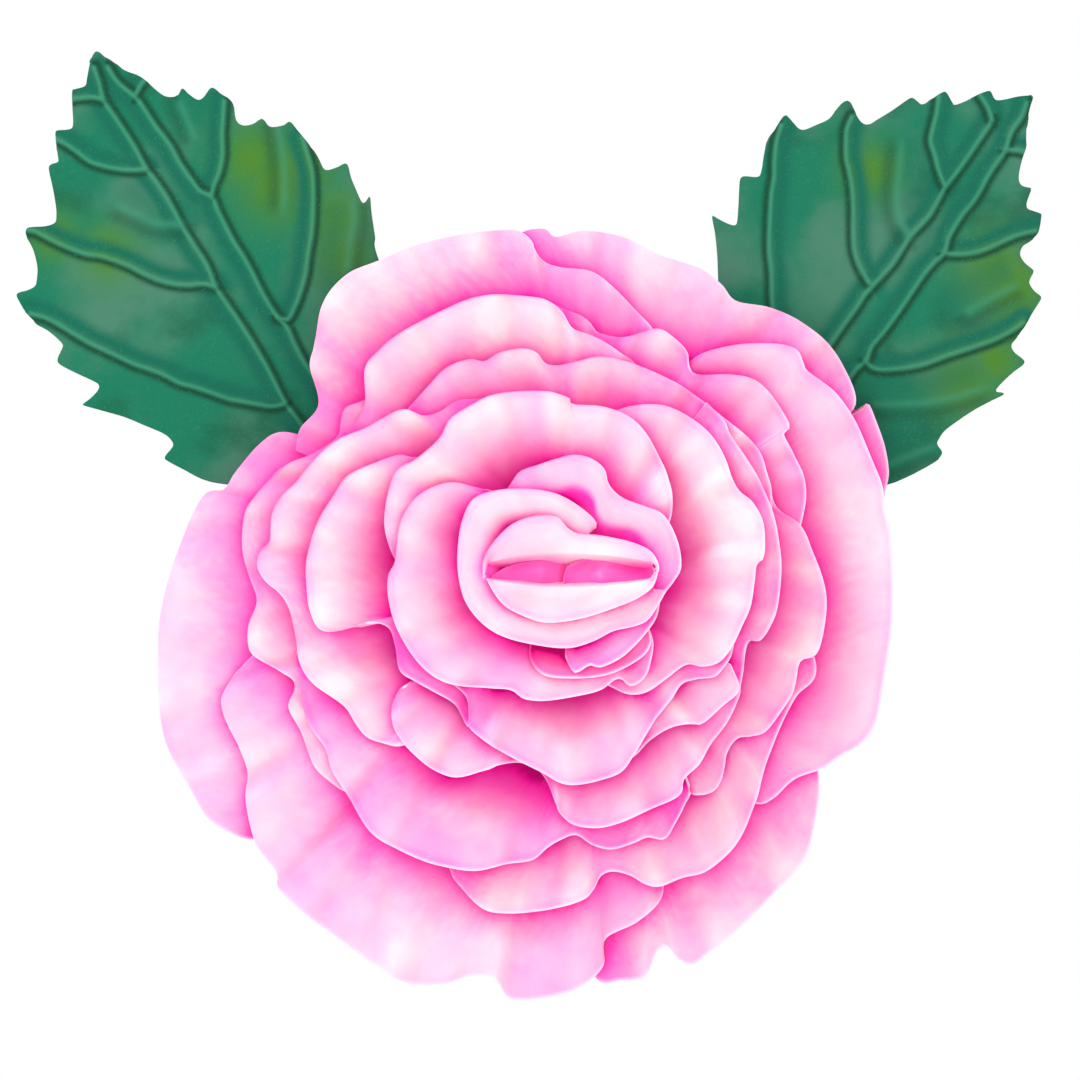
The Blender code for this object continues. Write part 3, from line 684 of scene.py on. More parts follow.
THIRD_PETALS = (
    Petal("third_petal_top", (
        (-42, 36), (-38.5, 40), (-33.5, 45.5), (-29.5, 49.5), (-24, 51.5), (-20.5, 51),
        (-17, 53), (-11.5, 54), (-8, 53), (-6, 50.5), (-3, 50), (2, 51), (7.5, 52), (16, 50),
        (26.5, 45), (36, 38), (44.5, 30.5), (47, 24), (48, 20), (48, 14)), (31, 35, 32), shading_tint=0.08),
    Petal("third_petal_left", (
        (-15.5, 42), (-21.5, 42), (-27, 41.5), (-31, 39), (-35, 38), (-39.5, 39.5),
        (-44.5, 37.5), (-49, 35), (-55, 32.5), (-59.5, 29), (-63.5, 24.5), (-65.5, 22),
        (-69, 18.5), (-71, 14.5), (-71.5, 8), (-74, 5.5), (-74.5, 2), (-72.5, -1.5),
        (-69.5, -4), (-67, -7.5), (-65.5, -14), (-64.5, -20.5), (-61.5, -25.5), (-54, -31),
        (-51, -35.5), (-48.5, -38.5), (-44.5, -40), (-40, -40.5), (-35, -39)), (36, 34, 33), shading_tint=0.1),
    Petal("third_petal_bottom", (
        (-33.5, -21.5), (-37.5, -25.5), (-41, -28), (-42.5, -31.5), (-42, -36), (-39.5, -40),
        (-36, -43.5), (-32, -46.5), (-27, -48), (-21, -46.5), (-17, -45), (-12, -44.5),
        (-8, -46), (-5.5, -49), (-3.5, -54), (-1.5, -57.5), (1.5, -59.5), (7, -60), (12.5, -58.5),
        (18, -56), (24, -53.5), (26.5, -51.5), (27, -48.5), (30.5, -45), (33.5, -40),
        (37, -35.5), (39.5, -30.5), (40.5, -26), (39, -20)), (36, 37, 35)),
    Petal("third_petal_right", (
        (32.5, 41), (36.5, 37), (38, 33.5), (42, 27.5), (45.5, 21.5), (48.5, 13.5), (50, 3.5),
        (49.5, -6), (47.5, -12), (45, -15.5), (42.5, -15.5), (41.5, -18.5), (41, -23),
        (40, -26.5), (36.5, -27)), (36, 38, 37)),
)
FOURTH_PETALS = (
    Petal("fourth_petal_left", (
        (-30, 29.5), (-36, 28), (-41, 28.5), (-47, 26.5), (-53, 23.5), (-56.5, 18.5),
        (-60, 12.5), (-62.5, 4), (-62.5, -3.5), (-61.5, -9), (-59, -13), (-54, -13),
        (-50.5, -11.5), (-47, -11), (-43, -12.5), (-41.5, -17), (-40.5, -22.5), (-37, -25),
        (-32.5, -27.5), (-27.5, -30.5), (-25.5, -34), (-24, -36), (-19, -36)), (39, 40, 39), shading_tint=0.05),
    Petal("fourth_petal_lower_right", (
        (9.5, -45), (15, -43), (19, -39), (24, -36), (29, -35), (31.5, -35), (36, -31),
        (40, -27), (38, -21)), (39, 40, 40), shading_tint=0.06),
    Petal("fourth_petal_bottom", (
        (-31, -23.5), (-27.5, -26), (-24.5, -29), (-24, -33), (-24, -36), (-19, -40),
        (-13, -43.5), (-7, -46.5), (-2.5, -49), (1.5, -49.5), (7, -48.5), (12, -46.5),
        (15, -42.5), (18, -37.5), (20.5, -33.5), (24, -29), (26.5, -25.5), (30, -24.5),
        (34, -24), (36, -22), (38, -19), (39, -14)), (42, 42, 42), shading_tint=-0.1),
    Petal("fourth_petal_right", (
        (7, 37), (12, 39.5), (17.5, 40.5), (23, 40), (29, 37), (33.5, 33), (36.5, 28), (38, 23.5),
        (40, 20), (43, 17.5), (45.5, 13), (46, 8), (45.5, 4), (44, 2.5), (43.5, -2), (42.5, -7.5),
        (40.5, -12), (38, -17), (35, -20.5), (31, -21.5), (27.5, -21), (23, -24), (18, -27.5),
        (13.5, -28), (9, -26)), (42, 43, 44), shading_tint=0.08),
    Petal("fourth_petal_top", (
        (-38, -1), (-41, 3), (-43, 7.5), (-44, 13), (-43, 20), (-41, 25), (-36.5, 27.5),
        (-31, 32.5), (-28.5, 37), (-24, 40), (-19, 42.5), (-13, 43.5), (-6, 43.5), (-0.5, 42),
        (0.5, 40.5), (7, 40), (13, 38), (17.5, 34), (21.5, 27), (23, 23), (24, 18.5),
        (23.5, 13), (20.5, 8.5)), (44, 46, 47)),
)
INNER_PETALS = (
    Petal("inner_petal_wrap", (
        (-14.5, 18), (-19, 20), (-23, 21), (-27.5, 22), (-32.5, 21), (-37, 18), (-40, 13),
        (-41, 7), (-41.5, 3), (-43, 0), (-43, -5), (-41.5, -11), (-38.5, -17), (-35, -21.5),
        (-31, -24.5), (-26, -26), (-19, -26.5), (-14, -27), (-11, -29), (-6, -29.5), (1, -28.5),
        (7, -27), (10.5, -24.5), (12.5, -24.5), (14.5, -26), (17.5, -24), (19, -20),
        (19.5, -15.5), (18, -11)), (47, 48, 47), fall=0.032, reach=0.56, ruffle=0.8, shading_tint=-0.05),
    Petal("inner_petal_low_back", (
        (-9, -14), (-9.5, -19), (-7.5, -22.5), (-3.5, -24), (5, -24), (11, -22.5), (17, -19),
        (19, -15.5), (18, -11)), (43, 44, 44), fall=0.05, reach=0.5, ruffle=0.3, shading_tint=-0.28),
    Petal("inner_petal_low_front", (
        (-1, -19), (0.5, -22.5), (2, -22.5), (4.5, -21), (7, -21.5), (11.5, -19.5), (15.5, -16),
        (18.5, -12.5), (20.5, -9), (21.5, -3)), (47, 48, 48), fall=0.06, reach=0.5, ruffle=0.4,
        shading_tint=-0.2),
)
BUD_PETALS = (
    Petal("bud_petal_upper_right", (
        (-17, 18), (-14.5, 21), (-12, 24.5), (-8, 26), (-3.5, 27.5), (1, 28.5), (5, 27.5),
        (8, 25), (9, 21.5), (12, 18.5), (17, 16.5), (21, 15), (23.5, 12), (25.5, 7), (26, 2),
        (24.5, -1), (22.5, -3.5), (20, -6)), (50, 51, 51), flat=5.0, fall=0.06, reach=0.6,
        ruffle=0.5, deep=6.5),
    Petal("bud_wrap", (
        (4.2, 10.0), (6.0, 11.3), (5.6, 13.2), (2.6, 15.9), (-1.5, 18.5), (-6, 20), (-12, 20.5),
        (-18, 20), (-23, 18),
        (-25.5, 13), (-26.5, 7), (-26.5, 1), (-25, -5.5), (-21.5, -10.5), (-16.5, -14),
        (-9.5, -16), (-1, -17), (5, -15.5), (10, -13), (14.5, -12), (18, -10.5), (20.5, -7),
        (22.5, -3.5)), (53, 54, 54), flat=5.0, fall=0.09, reach=0.42, ruffle=0.3, roll=0.9, deep=9.0,
        shading_tint=0.1, least=0.12),
    Petal("bud_heart_left", (
        (-18.2, 0.2), (-15, 2.1), (-11, 3.2), (-6.5, 3.8), (-3, 3.8), (-0.9, 2.8), (-0.1, -0.4),
        (-0.4, -2.4)), (51, 53, 50), fall=0.02, reach=0.7, aim=(0.96, -6.0), ruffle=0.2, wave=9.0,
        roll=0.6, shading_tint=-0.42, least=0.3),
    Petal("bud_heart_right", (
        (-1.6, -2.6), (-1.2, 1.6), (0.8, 3.0), (4.6, 3.9), (8.4, 4.2), (12.6, 3.8), (16.2, 3.3),
        (19.2, 2.4), (19.9, 0.5)), (45, 53, 51), fall=0.02, reach=0.7, aim=(0.96, -6.0), ruffle=0.2,
        wave=9.0, roll=0.6, shading_tint=-0.46, least=0.22),
    Petal("bud_lip_lower", (
        (-19.8, -0.6), (-18, -4), (-15.5, -7), (-12, -9), (-7, -10.8), (-2, -10.8), (4, -9.6),
        (9.5, -7.8), (15, -5.6), (18.8, -3), (20.2, -0.2), (20.4, 1.6)), (54, 55, 54), flat=5.0,
        fall=0.12, reach=0.97, aim=(0.94, -2.4), ruffle=0.1, roll=0.6, wall=3.4, sag=1.6,
        shading_tint=0.08, least=0.3),
    Petal("bud_lip_upper", (
        (-20.5, -0.5), (-20.5, 3.5), (-18.5, 7.5), (-14, 12), (-9, 14), (-3.5, 14), (-1, 11.5),
        (1.5, 10), (7, 9.5), (14, 8), (18.5, 6), (20.5, 3), (20.6, 1)),
        (55, 56, 56), flat=5.0, fall=0.06, reach=0.97, aim=(0.94, 5.0), ruffle=0.1, roll=0.6, wall=3.4,
        sag=-1.8, shading_tint=0.02, least=0.3),
)
# These petals sit deep in the mouth and take the painted-shade ramp.
DEEP_NODES = ("bud_heart_left", "bud_heart_right", "inner_petal_low_back")


@dataclass
class LayingField:
    """The front of everything laid so far, as a height for each small cell round the rose.

    Its sizes are in millimetres: gap is the room between two petals, steps are how far out the view is
    looked at, in as many directions as looks says.
    """

    gap: float = 1.9
    low: float = -112.0
    high: float = 92.0
    cell: float = 0.8
    plane: float = 7.2
    looks: int = 16
    steps: tuple[float, ...] = (1.2, 2.4, 4.0, 6.0, 8.5, 12.0, 16.0)
    clearance: float = 0.8
    front: np.ndarray = field(init=False)
    clear: np.ndarray = field(init=False)

    def __post_init__(self) -> None:
        """Start with the flat plane that the first petals lie on."""
        count = int((self.high - self.low) / self.cell)
        self.front = np.full((count, count), self.plane)
        self.clear = self.front.copy()

    def cells(self, x: np.ndarray, z: np.ndarray) -> tuple[np.ndarray, np.ndarray]:
        """Find the cell of each (x, z) place.

        Args:
            x: Places across, in millimetres.
            z: Places up, in millimetres.

        Returns:
            The cells' two index arrays.
        """
        last = len(self.front) - 1
        return (np.clip(((x - self.low) / self.cell).astype(int), 0, last),
                np.clip(((z - self.low) / self.cell).astype(int), 0, last))

    def read(self, heights: np.ndarray, x: np.ndarray, z: np.ndarray) -> np.ndarray:
        """Read a height smoothly between the cells.

        Args:
            heights: One height per cell.
            x: Places across, in millimetres.
            z: Places up, in millimetres.

        Returns:
            The height at each place.
        """
        last = len(heights) - 1.001
        across = np.clip((x - self.low) / self.cell - 0.5, 0, last)
        up = np.clip((z - self.low) / self.cell - 0.5, 0, last)
        a, u = across.astype(int), up.astype(int)
        fa, fu = across - a, up - u
        return ((heights[a, u] * (1 - fa) + heights[a + 1, u] * fa) * (1 - fu)
                + (heights[a, u + 1] * (1 - fa) + heights[a + 1, u + 1] * fa) * fu)

    def add(self, x: np.ndarray, front: np.ndarray, z: np.ndarray) -> None:
        """Add a petal, and keep the surface one gap in front of everything.

        Args:
            x: The petal's places across.
            front: How far forward it is at each place.
            z: The petal's places up.
        """
        np.maximum.at(self.front, self.cells(x, z), front)
        steps = int(self.gap / self.cell)
        self.clear = self.front.copy()
        for across in range(-steps, steps + 1):
            for up in range(-steps, steps + 1):
                away = math.hypot(across, up) * self.cell
                if away < self.gap:
                    lift = math.sqrt(self.gap ** 2 - away ** 2)
                    self.clear = np.maximum(self.clear, np.roll(self.front, (across, up), (0, 1)) + lift)

    def hollow(self, x: np.ndarray, front: np.ndarray, z: np.ndarray) -> np.ndarray:
        """Measure how much of the view out of each place its neighbours close off.

        Args:
            x: Places across, in millimetres.
            front: How far forward each place is.
            z: Places up, in millimetres.

        Returns:
            From 0, wide open, to 1, closed in.
        """
        total = np.zeros_like(front)
        for turn in np.linspace(0.0, 2 * math.pi, self.looks, endpoint=False):
            rise = np.zeros_like(front)
            for away in self.steps:
                there = self.read(self.front, x + away * math.cos(turn), z + away * math.sin(turn))
                rise = np.maximum(rise, (there - front - self.clearance) / away)
            total += rise ** 2 / (1.0 + rise ** 2)
        return total / self.looks


@dataclass
class PetalSheet:
    """One laid petal: its grid of places and how far in from the rim each of them is."""

    petal: Petal
    x: np.ndarray
    front: np.ndarray
    z: np.ndarray
    inward: np.ndarray
    relief: np.ndarray


@dataclass
class Rose:
    """The rose: every petal, laid from the back to the front. Its sizes are in millimetres."""

    spacing: float = 1.1
    rows: int = 30
    root_shelf: float = 0.72
    foam: float = 0.55
    roll_width: float = 2.6
    ruffle_depth: float = 13.0
    # Width of the painted rim lines, and strength of their painted shade.
    edge_line: float = 0.46
    edge_shade: float = 0.6
    # Tone settings: painted shade in the hollows, painted light on the ruffle crests.
    open_tone: float = 0.88
    hollow_shade: float = 1.1
    back_tone: float = 0.5
    back_fade: float = 20.0
    relief_light_share: float = 0.10
    relief_full: float = 1.6
    lip_width: float = 0.9
    lip_dip: float = 0.10
    wall_rows: int = 7
    wall_slope: float = 0.45
    wall_lean: float = 0.04
    even_out: float = 9.0
    settle_passes: int = 60
    root_steps: int = 12
    crease_fade: float = 16.0
    crease_wander: float = 2.6
    creases: tuple[Point, ...] = ((14.0, 0.42), (9.0, 0.24), (5.6, 0.07))
    ruffles: tuple[Point, ...] = ((1.0, 0.6), (0.58, 0.35), (0.33, 0.15))
    lit_side: np.ndarray = field(default_factory=lambda: np.array([0.64, -0.77]))
    finish: FoamFinish = field(default_factory=FoamFinish)
    deep_finish: FoamFinish = field(default_factory=lambda: FoamFinish(stops=DEEP_STOPS))
    laying: LayingField = field(default_factory=LayingField)

    def waves(self, petal: Petal, along: np.ndarray) -> np.ndarray:
        """Work out a petal's ruffles along its rim.

        Args:
            petal: The petal.
            along: Distances along the rim, in millimetres.

        Returns:
            The ruffle at each distance, about -1 to 1.
        """
        dice = random.Random(petal.node)
        total = np.zeros_like(along)
        for share, part in self.ruffles:
            length = petal.wave * share * dice.uniform(0.85, 1.15)
            total = total + part * np.sin(2 * math.pi * (along / length + dice.random()))
        return total

    def soften(self, rim: np.ndarray) -> np.ndarray:
        """Even out a rim's small notches, for the rows further in.

        Args:
            rim: The rim's samples.

        Returns:
            The evened samples.
        """
        reach = int(self.even_out / self.spacing)
        weights = np.exp(-np.linspace(-2.0, 2.0, 2 * reach + 1) ** 2)
        weights /= weights.sum()
        ends = np.vstack([2 * rim[0] - rim[reach:0:-1], rim, 2 * rim[-1] - rim[-2:-reach - 2:-1]])
        return np.stack([np.convolve(ends[:, axis], weights, "valid") for axis in (0, 1)], axis=1)

    def crease(self, petal: Petal, along: np.ndarray, inward: np.ndarray) -> np.ndarray:
        """Work out the fine creases that heat-shaping leaves, which run in from the rim and wander.

        Args:
            petal: The petal.
            along: Distances along the rim, in millimetres.
            inward: Distances in from the rim.

        Returns:
            The creases' height at each place.
        """
        dice = random.Random(petal.node + " creases")
        total = np.zeros_like(inward)
        for length, height in self.creases:
            drift = dice.uniform(-0.25, 0.25)
            wander = self.crease_wander * np.sin(inward / dice.uniform(5.0, 9.0) + dice.uniform(0.0, 6.0))
            phase = 2 * math.pi * ((along[:, None] + drift * inward + wander) / length + dice.random())
            run = along[:, None] / dice.uniform(11.0, 19.0) + inward / 9.0
            swell = 0.5 + 0.5 * np.sin(run + dice.uniform(0, 6))
            total = total + height * swell * np.sin(phase)
        return total * np.exp(-inward / self.crease_fade) * min(1.0, petal.ruffle + 0.15)

    def lay(self, petal: Petal) -> PetalSheet:
        """Shape one petal and lay it on those behind it.

        Args:
            petal: The petal.

        Returns:
            The laid sheet.
        """
        rim = smooth_line(petal.rim, self.spacing)
        along = np.concatenate([[0.0], np.cumsum(np.hypot(*np.diff(rim, axis=0).T))])
        even = self.soften(rim)
        rim_x, rim_z = rim[:, :1], rim[:, 1:]
        row = np.linspace(0.0, 1.0, self.rows + 1)[None, :] ** 1.5
        ease = 1.0 - (1.0 - row) ** 3
        base_x = rim_x + ease * (even[:, :1] - rim_x)
        base_z = rim_z + ease * (even[:, 1:] - rim_z)
        row = row * petal.reach
        goal_z = petal.aim[1] + petal.sag * (base_x / 20.0) ** 2
        x = base_x + row * (base_x * petal.aim[0] - base_x)
        z = base_z + row * (goal_z - base_z)
        inward = np.hypot(x - rim_x, z - rim_z)
        crest = np.interp(along / along[-1], (0.0, 0.5, 1.0), petal.front)[:, None]
        ruffle = petal.ruffle * self.waves(petal, along)[:, None] * np.exp(-inward / self.ruffle_depth)
        ruffle = ruffle + self.crease(petal, along, inward)
        roll = petal.roll * np.maximum(1.0 - inward / self.roll_width, 0.0) ** 2
        wanted = crest + ruffle - roll - petal.fall * np.maximum(inward - petal.flat, 0.0) ** 2
        need = np.maximum(self.laying.read(self.laying.clear, x, z) - wanted, 0.0)
        lift = need
        for _ in range(self.settle_passes):
            padded = np.pad(lift, 1, mode="edge")
            lift = (padded[:-2, 1:-1] + padded[2:, 1:-1] + padded[1:-1, :-2] + padded[1:-1, 2:]) / 4
            lift = np.maximum(lift, need)
        front = wanted + lift
        relief = ruffle
        if petal.wall:
            relief = np.hstack([relief, np.repeat(relief[:, -1:], self.wall_rows, axis=1)])
            steps = np.linspace(0.15, 1.0, self.wall_rows)[None, :] ** 1.3
            x = np.hstack([x, x[:, -1:] * (1 - self.wall_lean * steps)])
            z = np.hstack([z, z[:, -1:] * (1 - self.wall_slope * steps)])
            front = np.hstack([front, front[:, -1:] - petal.wall * steps])
            inward = np.hstack([inward, inward[:, -1:] + petal.wall * steps])
        self.laying.add(x, front, z)
        for share in np.linspace(self.root_shelf, 1.0, self.root_steps):
            self.laying.add(x[:, -1] * share, front[:, -1], z[:, -1] * share)
        return PetalSheet(petal, x, front, z, inward, relief)

    def build(self) -> list[Piece]:
        """Lay all the petals, then make and dress each one.

        Returns:
            The petals' objects.
        """
        petals = OUTER_PETALS + SECOND_PETALS + THIRD_PETALS + FOURTH_PETALS + INNER_PETALS + BUD_PETALS
        sheets = [self.lay(petal) for petal in petals]
        plain = (self.finish.material("petal_foam"), "petal_foam")
        deep = (self.deep_finish.material("deep_petal_foam"), "deep_foam")
        return [self.make(sheet, *(deep if sheet.petal.node in DEEP_NODES else plain)) for sheet in sheets]

    def tones(self, sheet: PetalSheet) -> np.ndarray:
        """Work out how pale or rich each side of a petal is, with its painted light and shade.

        Args:
            sheet: The laid sheet.

        Returns:
            The front's and the back's tones, from 0, rich, to 1, pale.
        """
        petal, inward = sheet.petal, sheet.inward
        # Painted shade where neighbouring petals close off the view.
        hollow = self.laying.hollow(sheet.x, sheet.front, sheet.z)
        # Painted shade deeper inside the bud, past the petal's deep mark.
        tuck = np.clip((inward - petal.deep) / 2.0, 0.0, 1.0)
        # Painted light on the ruffle crests and painted shade in their dips, on both sides.
        relief = np.clip(sheet.relief / self.relief_full, -1.0, 1.0)
        # Each petal's own painted light and shade is added here.
        front = self.open_tone + petal.shading_tint - self.hollow_shade * hollow ** 0.8 + self.relief_light_share * relief
        dip = 0.0 if petal in OUTER_PETALS else self.lip_dip
        front = front - dip * np.exp(-((inward - self.lip_width) / self.lip_width) ** 2)
        front = np.clip(front * (1.0 - 0.75 * tuck), petal.least, 1.0)
        back = self.back_tone + 0.3 * np.exp(-inward / self.back_fade) + 0.5 * self.relief_light_share * relief
        return np.stack([front, np.clip(back, 0.0, 1.0)])

    def rim_lines(self, sheet: PetalSheet) -> dict[str, np.ndarray]:
        """Work out where a petal's cut edge catches the light and where it is in shade.

        Args:
            sheet: The laid sheet.

        Returns:
            The pale and the dark edge's masks, for the front and the back.
        """
        x, z = sheet.x, sheet.z
        run = np.gradient(np.stack([x[:, 0], z[:, 0]], axis=1), axis=0)
        away = np.stack([x[:, 0] - x[:, 3], z[:, 0] - z[:, 3]], axis=1)
        across = np.stack([run[:, 1], -run[:, 0]], axis=1)
        across *= np.sign((across * away).sum(axis=1, keepdims=True))
        facing = (across @ self.lit_side) / np.maximum(np.hypot(*across.T), 1e-6)
        near = np.exp(-(sheet.inward / self.edge_line) ** 2)
        dark = 0.0 if sheet.petal in OUTER_PETALS else self.edge_shade
        sides = {"rim_highlight": np.clip(0.45 + facing, 0.0, 1.0),
                 "rim_shade": dark * np.clip(-facing, 0.0, 1.0)}
        return {name: np.stack([near * side[:, None]] * 2) for name, side in sides.items()}

    def make(self, sheet: PetalSheet, material: Material, slot: str) -> Piece:
        """Make one petal's mesh, with the foam's thickness and its painted masks.

        Args:
            sheet: The laid sheet.
            material: The foam's material.
            slot: Not used.

        Returns:
            The petal's object.
        """
        grid = to_world(sheet.x, sheet.front, sheet.z).reshape(*sheet.x.shape, 3)
        normal = np.cross(np.gradient(grid, axis=0), np.gradient(grid, axis=1))
        normal /= np.maximum(np.linalg.norm(normal, axis=-1, keepdims=True), 1e-12)
        if normal[..., 1].sum() > 0:
            normal = -normal
        piece = foam_sheet(f"rose_{sheet.petal.node}", grid, normal, self.foam * MM)
        paint(piece, "tone", self.tones(sheet))
        for name, mask in self.rim_lines(sheet).items():
            paint(piece, name, mask)
        dress(piece, material, sheet.petal.node)
        return piece


class Look(Enum):
    """How a vein's crest ends: crisp all along, or pressed so softly that it only swells."""

    CRISP = 1.0
    SOFT = 0.45


@dataclass(frozen=True)
class Vein:
    """One moulded vein, its line in millimetres. Its dark valley is on the left of travel at 1."""

    line: tuple[Point, ...]
    valley: int
    look: Look = Look.CRISP


LEFT_OUTLINE = (
    (-30, 4), (-50, 22), (-66, 20), (-82.8, 21.8), (-88.8, 23), (-93.6, 25.4), (-97.7, 27.6), (-98.4, 28.3),
    (-97.9, 29.3), (-96.5, 31), (-96.5, 32.2), (-98.4, 34.1), (-103.2, 36.2), (-108, 38.2), (-112.8, 39.6),
    (-117.8, 41), (-118.1, 41.5), (-116.2, 43), (-114.5, 44.9), (-114.4, 46.1), (-115.7, 47), (-120, 49),
    (-123.6, 50.9), (-124.4, 52.1), (-123.8, 53.8), (-123.1, 55.4), (-123.5, 56.4), (-126.7, 59.3),
    (-129.6, 61.2), (-132, 63.6), (-133.8, 66.6), (-134.3, 67.9), (-133.7, 68.5), (-131.5, 69.1),
    (-129.8, 70.1), (-129.4, 71.5), (-129.2, 74.2), (-129.6, 76.6), (-130.3, 79), (-131.5, 81.4),
    (-132.1, 83), (-131.7, 84.1), (-130.3, 84.4), (-127.2, 84.6), (-125, 85.4), (-124.6, 86.9),
    (-124.7, 89.3), (-125.3, 93.1), (-126.2, 97.2), (-126.4, 98.9), (-125.8, 99.6), (-124.3, 100.1),
    (-124.1, 100.8), (-124.6, 104.2), (-124.8, 107.3), (-124.3, 107.8), (-121.9, 108), (-120.7, 108.5),
    (-120.5, 110.4), (-120.7, 114), (-120.7, 117.4), (-120, 117.8), (-117.6, 118.6), (-117.1, 120.5),
    (-116.4, 124.1), (-115.6, 126.2), (-114.8, 127), (-114, 126.5), (-111.8, 124.8), (-108, 122.4),
    (-104.9, 121.2), (-103, 120), (-100.6, 117.8), (-98.4, 116.2), (-96.5, 115.9), (-95, 116.4),
    (-94, 118), (-92.4, 116.6), (-90.2, 115.2), (-88.8, 115.9), (-87.4, 117.8), (-86.4, 118.1),
    (-84.5, 116.6), (-82.6, 115.4), (-81.8, 113.5), (-80.9, 110.2), (-79.2, 109), (-76.8, 109.4),
    (-74.6, 110.6), (-72.7, 108.7), (-69.6, 109), (-67.9, 109.9), (-66, 107.8), (-63.1, 104.2),
    (-61.2, 100.8), (-59.8, 98.6), (-58.6, 98.2), (-56.4, 98.9), (-54.1, 99.7), (-53, 96.2),
    (-51.1, 91.7), (-50.2, 90.2), (-49.4, 90.7), (-48.5, 91.7), (-48.2, 88.1), (-47.3, 82.3),
    (-46.1, 75.8), (-34, 48), (-24, 18))
RIGHT_OUTLINE = (
    (20, 8), (24, 38), (35.2, 60), (36, 68), (36, 73.2), (35.8, 78), (35.3, 82.8), (34.6, 86.6),
    (34.8, 87.1), (36, 86.4), (38.4, 85.2), (40.1, 84.8), (40.7, 85.9), (41, 90), (41.2, 94.3),
    (41.5, 96.2), (42.5, 96.7), (44.9, 96.5), (46.1, 96.8), (46.7, 98.6), (47.3, 102), (48, 104.6),
    (49.4, 107.3), (51.1, 110.2), (52.3, 111.4), (53, 111.1), (54.5, 109.4), (55.7, 108.2), (57.1, 108),
    (60, 109.2), (62.9, 110.6), (64.8, 113), (66.2, 114.5), (67.4, 115), (68.4, 114.2), (69.4, 111.8),
    (71, 109.6), (72.7, 109.3), (74.6, 110.4), (78.2, 112.6), (81.6, 115), (83, 115.7), (84.2, 115),
    (85.4, 114.1), (87.1, 114.8), (89.3, 116.4), (91, 117.2), (91.7, 116.6), (92.9, 114.5), (93.6, 114),
    (96.5, 115.1), (99.1, 116.5), (101.8, 117.4), (102.5, 116.6), (103.4, 115.2), (105.6, 115.3),
    (108.7, 116), (111.6, 116.2), (112.3, 115.4), (111.6, 112.8), (110.9, 108.7), (110.8, 105.6),
    (110.8, 103.7), (109.7, 100.3), (109, 96.7), (109.4, 94.8), (110.6, 94.1), (112, 93.7), (111.4, 91.7),
    (110.9, 90), (111.2, 88.8), (112.8, 88.2), (114.4, 87.6), (114.5, 86.9), (114.1, 84.2), (113.5, 82.6),
    (111.4, 80.9), (109.8, 79.4), (109.4, 77.5), (110.6, 75.6), (112.3, 74.2), (112.6, 73.4), (111.6, 71),
    (112.8, 68.9), (114.5, 67.4), (113.8, 65.8), (112.3, 63.4), (110.4, 60), (108.5, 57.8), (107.3, 55.7),
    (108, 54), (110.5, 51.6), (107.8, 49.2), (105.4, 47), (103.7, 45.1), (103.7, 44.4), (105.1, 44.2),
    (105.4, 43.7), (102, 42), (98.4, 40.1), (94.1, 37.2), (91.2, 35), (89.8, 33.1), (89.3, 31.7),
    (90.5, 29.8), (90, 28.6), (88.8, 27.4), (84, 24.7), (80.4, 23), (76.8, 21.7), (58, 16), (38, 0))
LEFT_MIDRIB = (
    Vein(((-115.4, 123), (-114.2, 119.5), (-113, 115), (-110.4, 111.1), (-108, 107.5), (-105.6, 103.7),
          (-102.7, 98.4), (-100.3, 95.3), (-97.2, 90.5), (-94.3, 85), (-91.2, 79.9), (-88.1, 75.1),
          (-85.9, 69.8), (-83.3, 65.8), (-79, 59.5), (-73.9, 51.1), (-68.9, 41.5), (-64.8, 36),
          (-52, 18)), 1),
    Vein(((-112.1, 123.1), (-109.7, 119.5), (-105.8, 116.2), (-103.9, 114), (-100.8, 109.2), (-98.4, 106.1),
          (-96.5, 103.4), (-94.8, 100.1), (-91.4, 95.2), (-89.6, 93), (-86.9, 91.7), (-85.4, 88.3),
          (-83.5, 84.5), (-81.6, 80.9), (-78, 75.1), (-74.9, 68.9), (-72.5, 64.8), (-70.8, 62.4),
          (-68.6, 60), (-66.7, 55.9), (-64.1, 51.1), (-61.4, 47.3), (-50, 30)), 1),
)
